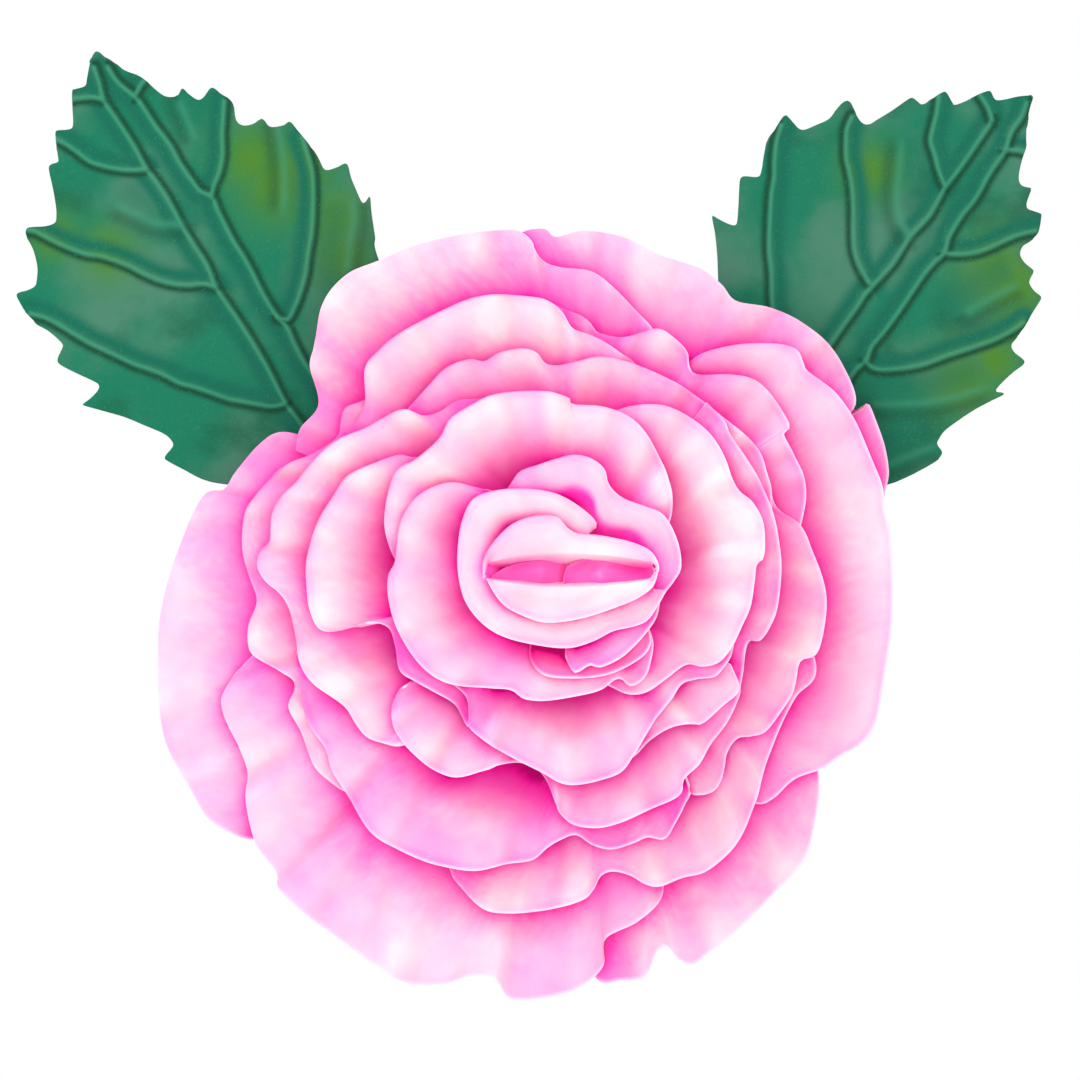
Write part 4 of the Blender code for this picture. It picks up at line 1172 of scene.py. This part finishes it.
LEFT_VEINS = (
    Vein(((-113, 115.2), (-115.2, 115.8), (-117.6, 115.8), (-120.4, 115.4)), 1),
    Vein(((-102.7, 98.4), (-105.6, 98.2), (-109.2, 98.4), (-112.8, 99.1), (-116.4, 100.3), (-120, 103),
          (-122.9, 104.9), (-124.5, 105.6)), 1),
    Vein(((-94.3, 85), (-97.2, 85), (-100.8, 85.4), (-104.4, 87.1), (-107.5, 88.6), (-111.6, 90.5)), 1,
         Look.SOFT),
    Vein(((-85.9, 69.8), (-88.8, 70.6), (-92.4, 70.3), (-96, 70.6), (-99.6, 71.5), (-103.2, 73),
          (-106.8, 74.9), (-110.4, 76.3), (-114, 77.4), (-117.6, 77.9), (-122.4, 79.7), (-126, 81.4),
          (-129.6, 83.3), (-131.4, 83.6)), 1),
    Vein(((-68.9, 41.5), (-72, 40.8), (-75.6, 41.3), (-79.2, 42), (-82.8, 42.7), (-87.6, 44.4),
          (-91.2, 45.6), (-94.8, 46.6), (-98.4, 48.5), (-102, 49.9), (-105.6, 51.1), (-109.2, 52.8),
          (-112.8, 54.5), (-116.4, 56.2), (-120, 58.3), (-123.6, 60.5), (-127.2, 62.4), (-131, 63.4)), 1),
    Vein(((-105.6, 116), (-103.9, 119), (-103, 120)), -1),
    Vein(((-86.9, 91.9), (-86.4, 94.3), (-85, 97.7), (-84.2, 102), (-84.3, 106.8), (-84, 111.6),
          (-83.8, 114.9)), -1),
    Vein(((-70.8, 62.4), (-68.4, 61.9), (-66.7, 64.8), (-65.3, 68.4), (-64.1, 72.7), (-63.4, 78),
          (-62.6, 82.8), (-62.2, 90), (-62.4, 97.2), (-63.6, 102), (-64.8, 106.1)), -1),
    Vein(((-53.8, 74), (-53.2, 80.4), (-52.3, 86), (-52.8, 92)), -1, Look.SOFT),
    Vein(((-70.6, 108), (-69.5, 101), (-69.2, 94), (-69.6, 86)), -1, Look.SOFT),
    Vein(((-94.4, 114), (-92.6, 110), (-90.4, 104.5)), -1, Look.SOFT),
)
RIGHT_MIDRIB = (
    Vein(((102.5, 110.4), (101.8, 109), (99, 104.9), (96.7, 101.5), (93.6, 97.2), (91.2, 94.1), (89.5, 91),
          (87.4, 87.3), (84.4, 84), (82.6, 82.1), (81.1, 79.7), (78.5, 75.6), (75.8, 72.5), (72, 68.4),
          (69.6, 64.8), (66.5, 60.5), (62, 54), (46, 30)), 1),
    Vein(((110.9, 114.5), (109.7, 111.1), (107.5, 108), (106.4, 105.1), (105.8, 103), (103.9, 100.3),
          (101.5, 96.7), (99.6, 93.1), (97.7, 90.2), (95.5, 87.6), (93.6, 84.7), (92.1, 82),
          (91.6, 80.2), (90.9, 78), (88.8, 76.1), (86.4, 73.4), (84.7, 71), (82.8, 68.2), (80.4, 64.6),
          (78, 61.2), (75.6, 58.1), (73.2, 55.2), (71.8, 51.6), (68.4, 48.4), (54, 28)), 1),
)
RIGHT_VEINS = (
    Vein(((102.5, 110.4), (101.8, 112.6), (100.8, 114.5), (99.6, 116.3)), 1),
    Vein(((91.2, 94.1), (90.2, 96.5), (89.3, 99.1), (88.6, 102), (87.6, 105.1), (88.1, 108), (89, 111.6),
          (89.6, 116)), 1),
    Vein(((82.6, 82.1), (80.6, 85.4), (79.7, 88.8), (79.4, 92.4), (79.9, 97.2), (80.4, 102),
          (80.6, 107)), 1, Look.SOFT),
    Vein(((72.7, 70.8), (71.3, 73.2), (70.1, 75.6), (69.1, 79.2), (68.9, 84), (68.9, 88.8), (68.6, 93.6),
          (67.9, 97.7), (67.2, 100.8), (67.1, 104.4), (67.3, 108), (68.6, 111.1)), 1),
    Vein(((50, 62), (49.2, 66), (49, 73.2), (48.5, 78), (48.5, 82.8), (48.7, 87.6), (49, 92.4),
          (49.7, 96.5), (49.7, 99.6), (50.2, 104.9), (51.4, 109)), 1),
    Vein(((105.8, 103), (108, 103.1), (110.6, 102.6)), -1),
    Vein(((90.9, 78), (94.8, 77.8), (98.4, 78.2), (102, 79.4), (105.6, 81.1), (109.2, 82.6),
          (113.2, 83.5)), -1),
    Vein(((71.8, 51.6), (74.4, 49.9), (79.2, 49.9), (84, 50.6), (87.6, 51.6), (91.2, 53), (94.8, 54.2),
          (98.4, 55.4), (103.2, 57.1), (107.5, 59.3), (110.2, 61.2)), -1),
    Vein(((74.4, 41.3), (79.2, 41.3), (86.4, 41.7), (93.6, 43), (99.6, 44.9), (103.6, 46)), -1, Look.SOFT),
    Vein(((78, 27), (84, 29.4), (90, 31.6)), -1, Look.SOFT),
    Vein(((97, 64), (103, 67.4), (110, 71)), -1, Look.SOFT),
)
LEFT_YELLOW = ((-77, 101, 9), (-71, 95, 10), (-66, 99, 9), (-57, 86, 8), (-56, 78, 8), (-125, 82, 6),
               (-112, 78, 7))
RIGHT_YELLOW = ((108, 70, 9), (103, 74, 9), (110, 62, 7), (96, 47, 9), (103, 52, 7), (73, 98, 7))


@dataclass
class Leaf:
    """One leaf: cut with teeth from foam sheet, and moulded over a veined former."""

    side: Side
    outline: tuple[Point, ...]
    midrib: tuple[Vein, ...]
    veins: tuple[Vein, ...]
    yellow_spots: tuple[tuple[float, float, float], ...]
    back: float = 1.7
    thick: float = 1.0
    tilt: float = math.radians(1.2)
    cell: float = 0.55
    ridge_height: float = 0.36
    ridge_width: float = 0.46
    valley_depth: float = 0.36
    valley_place: float = 1.15
    valley_width: float = 0.8
    trough_place: float = 2.2
    trough_width: float = 1.9
    trough_share: float = 0.25
    soft_spread: float = 2.2
    finish: LeafFinish = field(default_factory=LeafFinish)

    def build(self) -> Piece:
        """Make and dress the leaf.

        Returns:
            The leaf's object.
        """
        edge = smooth_line(self.outline + self.outline[:1], self.cell)[:-1]
        low, high = edge.min(axis=0), edge.max(axis=0)
        grid_x, grid_z = np.meshgrid(np.arange(low[0], high[0], self.cell),
                                     np.arange(low[1], high[1], self.cell * math.sin(math.radians(60))))
        grid_x = grid_x + (np.arange(len(grid_x))[:, None] % 2) * self.cell / 2
        grid = np.stack([grid_x.ravel(), grid_z.ravel()], axis=1)
        grid = grid[self.inside(grid, edge)]
        places = [Vector(place) for place in np.vstack([edge, grid])]
        loop = [(i, (i + 1) % len(edge)) for i in range(len(edge))]
        flat, _, faces, *_ = delaunay_2d_cdt(places, loop, [], 0, 1e-5, False)
        points = np.array([tuple(place) for place in flat])
        middles = np.array([points[list(face)].mean(axis=0) for face in faces])
        faces = [face for face, kept in zip(faces, self.inside(middles, edge)) if kept]
        masks = self.masks(points)
        front = (self.back + self.thick + points[:, 1] * math.sin(self.tilt) + masks["height"])
        piece = new_piece(f"foam_leaf_{self.side.value}", to_world(points[:, 0], front, points[:, 1]), faces)
        face_viewer(piece)
        masks = self.masks(np.array([(v.co.x / MM, v.co.z / MM) for v in piece.data.vertices]))
        for name in ("yellow", "teal", "shade", "ridge"):
            paint(piece, name, masks[name])
        thicken(piece, "foam", self.thick, -1.0)
        material = self.finish.material(f"leaf_{self.side.value}_foam")
        dress(piece, material, f"leaf_{self.side.value}")
        return piece

    def inside(self, places: np.ndarray, edge: np.ndarray) -> np.ndarray:
        """Tell which places lie inside the outline.

        Args:
            places: The (x, z) places.
            edge: The outline's points.

        Returns:
            True for each place inside.
        """
        within = np.zeros(len(places), dtype=bool)
        for (ax, az), (bx, bz) in zip(edge, np.roll(edge, -1, axis=0)):
            if az == bz:
                continue
            crosses = (az > places[:, 1]) != (bz > places[:, 1])
            within ^= crosses & (places[:, 0] < ax + (places[:, 1] - az) / (bz - az) * (bx - ax))
        return within

    def masks(self, points: np.ndarray) -> dict[str, np.ndarray]:
        """Work out the moulded height and the paint at each place.

        Args:
            points: The (x, z) places.

        Returns:
            The height in millimetres, and the yellow, teal, shade and ridge masks.
        """
        height = np.zeros(len(points))
        ridge, shade, teal = height.copy(), height.copy(), height.copy()
        for vein in self.midrib + self.veins:
            away, part = self.signed_distance(points, smooth_line(vein.line, 1.2))
            away = away * vein.valley
            fade = np.clip((1.0 - part) * 6.0, 0.0, 1.0) if vein.look is Look.SOFT else 1.0
            power = vein.look.value * fade
            broad = 1.0 if vein.look is Look.CRISP else self.soft_spread
            crest = power * np.exp(-(away / (self.ridge_width * broad)) ** 2)
            valley = power * np.exp(-((away - self.valley_place * broad) / (self.valley_width * broad)) ** 2)
            trough = power * np.exp(-((away + self.trough_place * broad) / (self.trough_width * broad)) ** 2)
            height = height + self.ridge_height * crest - self.valley_depth * valley
            height = height - self.trough_share * self.valley_depth * trough
            # Painted highlight along the crest, and a dark valley band, part airbrush and part painted shade.
            ridge = np.maximum(ridge, crest)
            shade = np.maximum(shade, valley)
            teal = np.maximum(teal, trough)
        yellow = np.zeros(len(points))
        for x, z, radius in self.yellow_spots:
            away = np.hypot(points[:, 0] - x, points[:, 1] - z)
            yellow = np.maximum(yellow, np.exp(-(away / radius) ** 2))
        return {"height": height, "ridge": ridge, "shade": shade * (1 - ridge), "teal": teal * (1 - ridge),
                "yellow": yellow}

    def signed_distance(self, points: np.ndarray, line: np.ndarray) -> tuple[np.ndarray, np.ndarray]:
        """Measure how far each place is from a line, positive on its left.

        Args:
            points: The (x, z) places.
            line: The line's samples.

        Returns:
            The signed distance of each place, and how far along the line (0 to 1) its nearest point is.
        """
        best = np.full(len(points), 1e9)
        signed, part = best.copy(), np.zeros(len(points))
        for number, (start, end) in enumerate(zip(line, line[1:])):
            run = end - start
            offset = points - start
            share = np.clip((offset @ run) / (run @ run), 0.0, 1.0)
            away = np.hypot(*(offset - share[:, None] * run).T)
            nearer = away < best
            best[nearer] = away[nearer]
            side = np.sign(run[0] * offset[:, 1] - run[1] * offset[:, 0])
            signed[nearer] = (away * side)[nearer]
            part[nearer] = ((number + share) / (len(line) - 1))[nearer]
        return signed, part


@dataclass
class Backing:
    """What the petals are glued to: the felt disc, the foam base and the rolled core, in millimetres."""

    felt_radius: float = 31.0
    felt_thick: float = 1.1
    base_radius: float = 41.6
    base_back: float = 4.3
    base_front: float = 6.5
    core_back: float = 7.0
    core_front: float = 32.8
    core_inner: float = 0.9
    core_outer: float = 6.3
    core_turns: float = 3.4
    core_foam: float = 1.5
    core_flare: float = 2.6
    core_rows: int = 14
    rings: int = 22
    segments: int = 160
    felt_finish: FeltFinish = field(default_factory=FeltFinish)

    def build(self, finish: FoamFinish) -> list[Piece]:
        """Make and dress the three pieces.

        Args:
            finish: The petals' foam, which the core and the base are cut from too.

        Returns:
            The pieces.
        """
        foam = finish.material("backing_foam")
        base = self.base(foam)
        core = self.core(foam)
        return [base, core, self.felt(base)]

    def disc(self, name: str, radius: float, profile: tuple[Point, ...], ragged: float) -> Piece:
        """Turn a closed disc round the bud axis, with a slightly hand-cut edge.

        Args:
            name: The piece's name.
            radius: The disc's radius.
            profile: Points as (share of the radius, front), from the back's middle round to the front's.
            ragged: How far the cut wanders.

        Returns:
            The disc.
        """
        turn = np.linspace(0.0, 2 * math.pi, self.segments, endpoint=False)[:, None]
        share = np.array([point[0] for point in profile])[None, :]
        front = np.array([point[1] for point in profile])[None, :] + 0.0 * turn
        wobble = np.sin(5 * turn + 1.0) + 0.6 * np.sin(11 * turn) + 0.4 * np.sin(23 * turn + 2.0)
        cut = radius + ragged * wobble
        front = front + 0.12 * ragged * np.sin(7 * turn + 9 * share) * share
        reach = cut * share
        points = to_world(reach * np.cos(turn), front, reach * np.sin(turn))
        rows = len(profile)
        faces = fill_faces(self.segments, rows)
        last = (self.segments - 1) * rows
        faces += [(last + row, row, row + 1, last + row + 1) for row in range(rows - 1)]
        piece = new_piece(name, points, faces)
        with open_mesh(piece) as bm:
            bmesh.ops.remove_doubles(bm, verts=bm.verts, dist=1e-6)
            bmesh.ops.recalc_face_normals(bm, faces=bm.faces)
        return piece

    def base(self, foam: Material) -> Piece:
        """Make the round foam base behind the petals."""
        low, high = self.base_back, self.base_front
        profile = ((0.0, low), (0.3, low), (0.6, low), (0.85, low), (0.97, low + 0.05), (0.992, low + 0.3),
                   (1.0, low + 0.8), (1.0, high - 0.8), (0.992, high - 0.3), (0.97, high - 0.05),
                   (0.85, high), (0.6, high), (0.3, high), (0.0, high))
        base = self.disc("round_foam_base", self.base_radius, profile, 0.12)
        paint(base, "tone", np.full(len(base.data.vertices), 0.66))
        dress(base, foam, "foam_base")
        return base

    def core(self, foam: Material) -> Piece:
        """Roll the foam strip that the inner petals are wrapped round."""
        turn = np.linspace(0.0, self.core_turns * 2 * math.pi, int(self.core_turns * 40))[:, None]
        share = turn / turn[-1]
        depth = np.linspace(0.0, 1.0, self.core_rows)[None, :]
        reach = self.core_inner + (self.core_outer - self.core_inner) * share + 0.0 * depth
        top = self.core_front - 1.6 * share + 0.25 * np.sin(turn * 1.7)
        front = self.core_back + (top - self.core_back) * depth
        reach = reach + self.core_flare * (1.0 - depth) ** 3 * share
        core = new_piece("rolled_foam_core", to_world(reach * np.cos(turn), front, reach * np.sin(turn)),
                         fill_faces(len(turn), self.core_rows))
        face_viewer(core)
        # Painted shade: rich all over, a little paler towards the core's front edge.
        paint(core, "tone", np.clip(0.12 + 0.3 * (depth ** 8 + 0.0 * turn), 0.0, 1.0))
        thicken(core, "foam", self.core_foam, 0.0)
        dress(core, foam, "bud_core")
        return core

    def felt(self, base: Piece) -> Piece:
        """Cut the felt disc that covers the glued roots."""
        thick = self.felt_thick
        rings = tuple((share, 0.03) for share in np.linspace(0.0, 0.98, self.rings))
        edge = ((0.996, 0.12), (1.0, 0.35), (1.0, thick - 0.3), (0.996, thick - 0.1))
        felt = self.disc("felt_disc", self.felt_radius - 0.35, rings + edge
                         + tuple((share, thick) for share in np.linspace(0.98, 0.0, self.rings)), 0.16)
        dress(felt, self.felt_finish.material("green_felt"), "felt_backing")
        return felt


@dataclass
class Clip:
    """The duckbill clip: two pressed steel jaws, their ears, the hinge pin and the wound spring.

    The clip lies along X. Its spines are (x, back) points, where back is the distance behind the felt.
    """

    middle_z: float = 9.0
    half_width: float = 4.4
    steel: float = 0.7
    pin_x: float = 9.0
    pin_back: float = 4.7
    eye: float = 1.8
    hole: float = 1.15
    ear_half: float = 3.8
    ear_foot: float = 1.0
    ear_spread: float = 2.9
    jaw_ear_half: float = 2.6
    jaw_ear_foot: float = 8.4
    jaw_crown: float = 0.5
    edge_round: float = 0.12
    fixed_spine: tuple[Point, ...] = ((-33.8, 0.8), (-20, 0.8), (-6, 0.8), (8, 0.8), (21.8, 0.8))
    jaw_spine: tuple[Point, ...] = ((-33.8, 1.95), (-27, 3.2), (-20, 4.6), (-8, 6.9), (9, 8.6), (16, 10.6),
                                    (25.8, 13.3))
    across: int = 17
    finish: SteelFinish = field(default_factory=SteelFinish)

    def build(self, nodes: dict[str, Piece]) -> list[Piece]:
        """Make both jaws, and dress the pin and the spring.

        Args:
            nodes: The frame's CAD nodes by name.

        Returns:
            The jaws' pieces.
        """
        steel = self.finish.material("nickel_steel")
        back = [self.strip("clip_back_jaw", self.fixed_spine, "flower", 0.0)]
        front = [self.strip("clip_front_jaw", self.jaw_spine, "jaw", self.jaw_crown)]
        for side in (-1, 1):
            place = side * self.ear_half
            back.append(self.ear(f"clip_back_ear_{side}", place, self.ear_foot, "flower"))
        for side in (-1, 1):
            place = side * self.jaw_ear_half
            front.append(self.ear(f"clip_front_ear_{side}", place, self.jaw_ear_foot, "jaw"))
        for node, pieces in (("clip_fixed_jaw", back), ("clip_moving_jaw", front)):
            for piece in pieces:
                dress(piece, steel, node)
        for name in ("clip_pin", "clip_spring"):
            nodes[name].data.materials.clear()
            nodes[name].data.materials.append(self.finish.material(f"{name}_steel"))
        return back + front

    def strip(self, name: str, spine: tuple[Point, ...], body: str, crown: float) -> Piece:
        """Press one jaw from a strip: rounded ends, a stiffening bead, a toothed nose and thumb ridges.

        Args:
            name: The piece's name.
            spine: The strip's side line.
            body: The CAD body that it moves with.
            crown: How far its middle stands proud of its sides.

        Returns:
            The jaw.
        """
        line = smooth_line(spine, 0.35)
        along = line[:, :1]
        start, end = along[0], along[-1]
        half = np.full_like(along, self.half_width)
        for tip, radius in ((start, 3.0), (end, 4.0)):
            inner = np.clip(1.0 - np.abs(along - tip) / radius, 0.0, 1.0)
            half = half * (1.0 - 0.55 * (1.0 - np.sqrt(np.clip(1.0 - inner ** 2, 0.0, 1.0))))
        tooth = 0.28 * np.abs(np.sin(along * math.pi / 1.6)) * (along < start + 11.0) * (along > start + 0.6)
        share = np.linspace(-1.0, 1.0, self.across)[None, :]
        width = (half - tooth) * share
        bead = 0.55 * crown * np.exp(-(width / 0.9) ** 2) * np.clip((along - start - 6.0) / 3.0, 0.0, 1.0)
        bead = bead * np.clip((end - 12.0 - along) / 3.0, 0.0, 1.0)
        ridge = 0.3 * crown * np.clip(np.cos((along - end) * math.pi / 0.9), 0.0, 1.0) * (along > end - 7.5)
        back = line[:, 1:] + crown * (1.0 - share ** 2) * 0.8 - crown * 0.4 + bead + ridge
        piece = new_piece(name, to_world(along + 0.0 * share, -back, self.middle_z + width),
                          fill_faces(len(line), self.across), body)
        self.harden(piece)
        return piece

    def ear(self, name: str, offset: float, foot: float, body: str) -> Piece:
        """Cut one pierced ear, standing from a jaw to the pin.

        Args:
            name: The piece's name.
            offset: Its place beside the clip's middle.
            foot: How far back the jaw that it stands on is.
            body: The CAD body that it moves with.

        Returns:
            The ear.
        """
        away = math.copysign(1.0, foot - self.pin_back)
        turns = np.linspace(math.radians(20), math.radians(-200), 19)
        outer = [(self.eye * math.cos(turn), away * self.eye * math.sin(turn)) for turn in turns]
        reach = abs(foot - self.pin_back)
        outer += [(x, away * reach) for x in np.linspace(-self.ear_spread, self.ear_spread, 9)]
        inner = []
        for x, y in outer:
            length = math.hypot(x, y)
            inner.append((x / length * self.hole, y / length * self.hole))
        ring = np.array(outer + inner)
        points = to_world(self.pin_x + ring[:, 0], -(self.pin_back + ring[:, 1]),
                          np.full(len(ring), self.middle_z + offset))
        count = len(outer)
        faces = [(i, (i + 1) % count, count + (i + 1) % count, count + i) for i in range(count)]
        piece = new_piece(name, points, faces, body)
        self.harden(piece)
        return piece

    def harden(self, piece: Piece) -> None:
        """Give a jaw or an ear the steel's thickness and soft edges.

        Args:
            piece: The flat piece.
        """
        thicken(piece, "steel", self.steel, 0.0)
        soft = piece.modifiers.new("soft_edges", "BEVEL")
        soft.width = self.edge_round * MM
        soft.segments = 2
        soft.limit_method = "ANGLE"
        soft.angle_limit = math.radians(50)


@dataclass
class Studio:
    """A plain pale studio, in metres: a white floor, a white surround, soft lights and the camera."""

    floor_z: float = -0.2
    front_glow: float = 1.18
    lens: float = 200.0
    frame_width: float = 0.259
    sensor: float = 36.0
    middle: Place = (-0.0072, -0.022, 0.0084)
    key: Place = (-0.85, -0.75, 0.95)
    front: Place = (0.15, -2.0, 0.2)

    def build(self) -> None:
        """Set up the floor, the surround, the lights and the camera."""
        self.floor()
        self.surround()
        self.light("key", self.key, 0.4, 9.0)
        self.light("front", self.front, 1.0, 6.0)
        self.camera()
        bpy.context.scene.view_settings.view_transform = "Standard"

    def floor(self) -> None:
        """Lay the plain floor."""
        bpy.ops.mesh.primitive_plane_add(size=1.6, location=(0.0, 0.0, self.floor_z))
        floor = bpy.context.object
        floor.name = "studio_floor"
        shade = Shade("studio_paper", {"Roughness": 0.9, "Base Color": (0.95, 0.95, 0.95, 1.0)})
        floor.data.materials.append(shade.material)

    def surround(self) -> None:
        """Make the white surround."""
        world = bpy.data.worlds.new("studio")
        world.use_nodes = True
        nodes, links = world.node_tree.nodes, world.node_tree.links
        place = nodes.new("ShaderNodeTexCoord")
        axes = nodes.new("ShaderNodeSeparateXYZ")
        depth = nodes.new("ShaderNodeMapRange")
        glow = {"From Min": -0.1, "From Max": 0.5, "To Min": self.front_glow, "To Max": 1.0}
        for socket, value in glow.items():
            depth.inputs[socket].default_value = value
        links.new(place.outputs["Generated"], axes.inputs["Vector"])
        links.new(axes.outputs["Y"], depth.inputs["Value"])
        links.new(depth.outputs["Result"], nodes["Background"].inputs["Strength"])
        nodes["Background"].inputs["Color"].default_value = (1.0, 1.0, 1.0, 1.0)
        bpy.context.scene.world = world

    def light(self, name: str, place: Place, size: float, power: float) -> None:
        """Hang one soft light aimed at the rose.

        Args:
            name: The light's name.
            place: Where it hangs.
            size: The panel's side.
            power: Its power in watts.
        """
        panel = bpy.data.lights.new(name, "AREA")
        panel.size = size
        panel.energy = power
        lamp = bpy.data.objects.new(name, panel)
        lamp.location = place
        lamp.rotation_euler = (Vector(self.middle) - Vector(place)).to_track_quat("-Z", "Y").to_euler()
        bpy.context.scene.collection.objects.link(lamp)

    def camera(self) -> None:
        """Place the camera square on to the rose."""
        lens = bpy.data.cameras.new("camera")
        lens.lens = self.lens
        lens.sensor_width = self.sensor
        camera = bpy.data.objects.new("camera", lens)
        distance = self.lens * self.frame_width / self.sensor
        camera.location = (self.middle[0], self.middle[1] - distance, self.middle[2])
        camera.rotation_euler = (math.radians(90), 0.0, 0.0)
        bpy.context.scene.collection.objects.link(camera)
        bpy.context.scene.camera = camera


def main() -> None:
    """Build every part of the flower's looks, in order."""
    logging.basicConfig(level=logging.INFO, format="%(message)s")
    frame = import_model()
    Studio().build()
    rose = Rose()
    for piece in rose.build():
        LOG.info("petal %s", piece.name)
    for leaf in (Leaf(Side.LEFT, LEFT_OUTLINE, LEFT_MIDRIB, LEFT_VEINS, LEFT_YELLOW),
                 Leaf(Side.RIGHT, RIGHT_OUTLINE, RIGHT_MIDRIB, RIGHT_VEINS, RIGHT_YELLOW)):
        LOG.info("leaf %s", leaf.build().name)
    for piece in Backing().build(rose.deep_finish) + Clip().build(frame["nodes"]):
        LOG.info("backing %s", piece.name)
    bpy.context.view_layer.update()


if __name__ == "__main__":
    main()
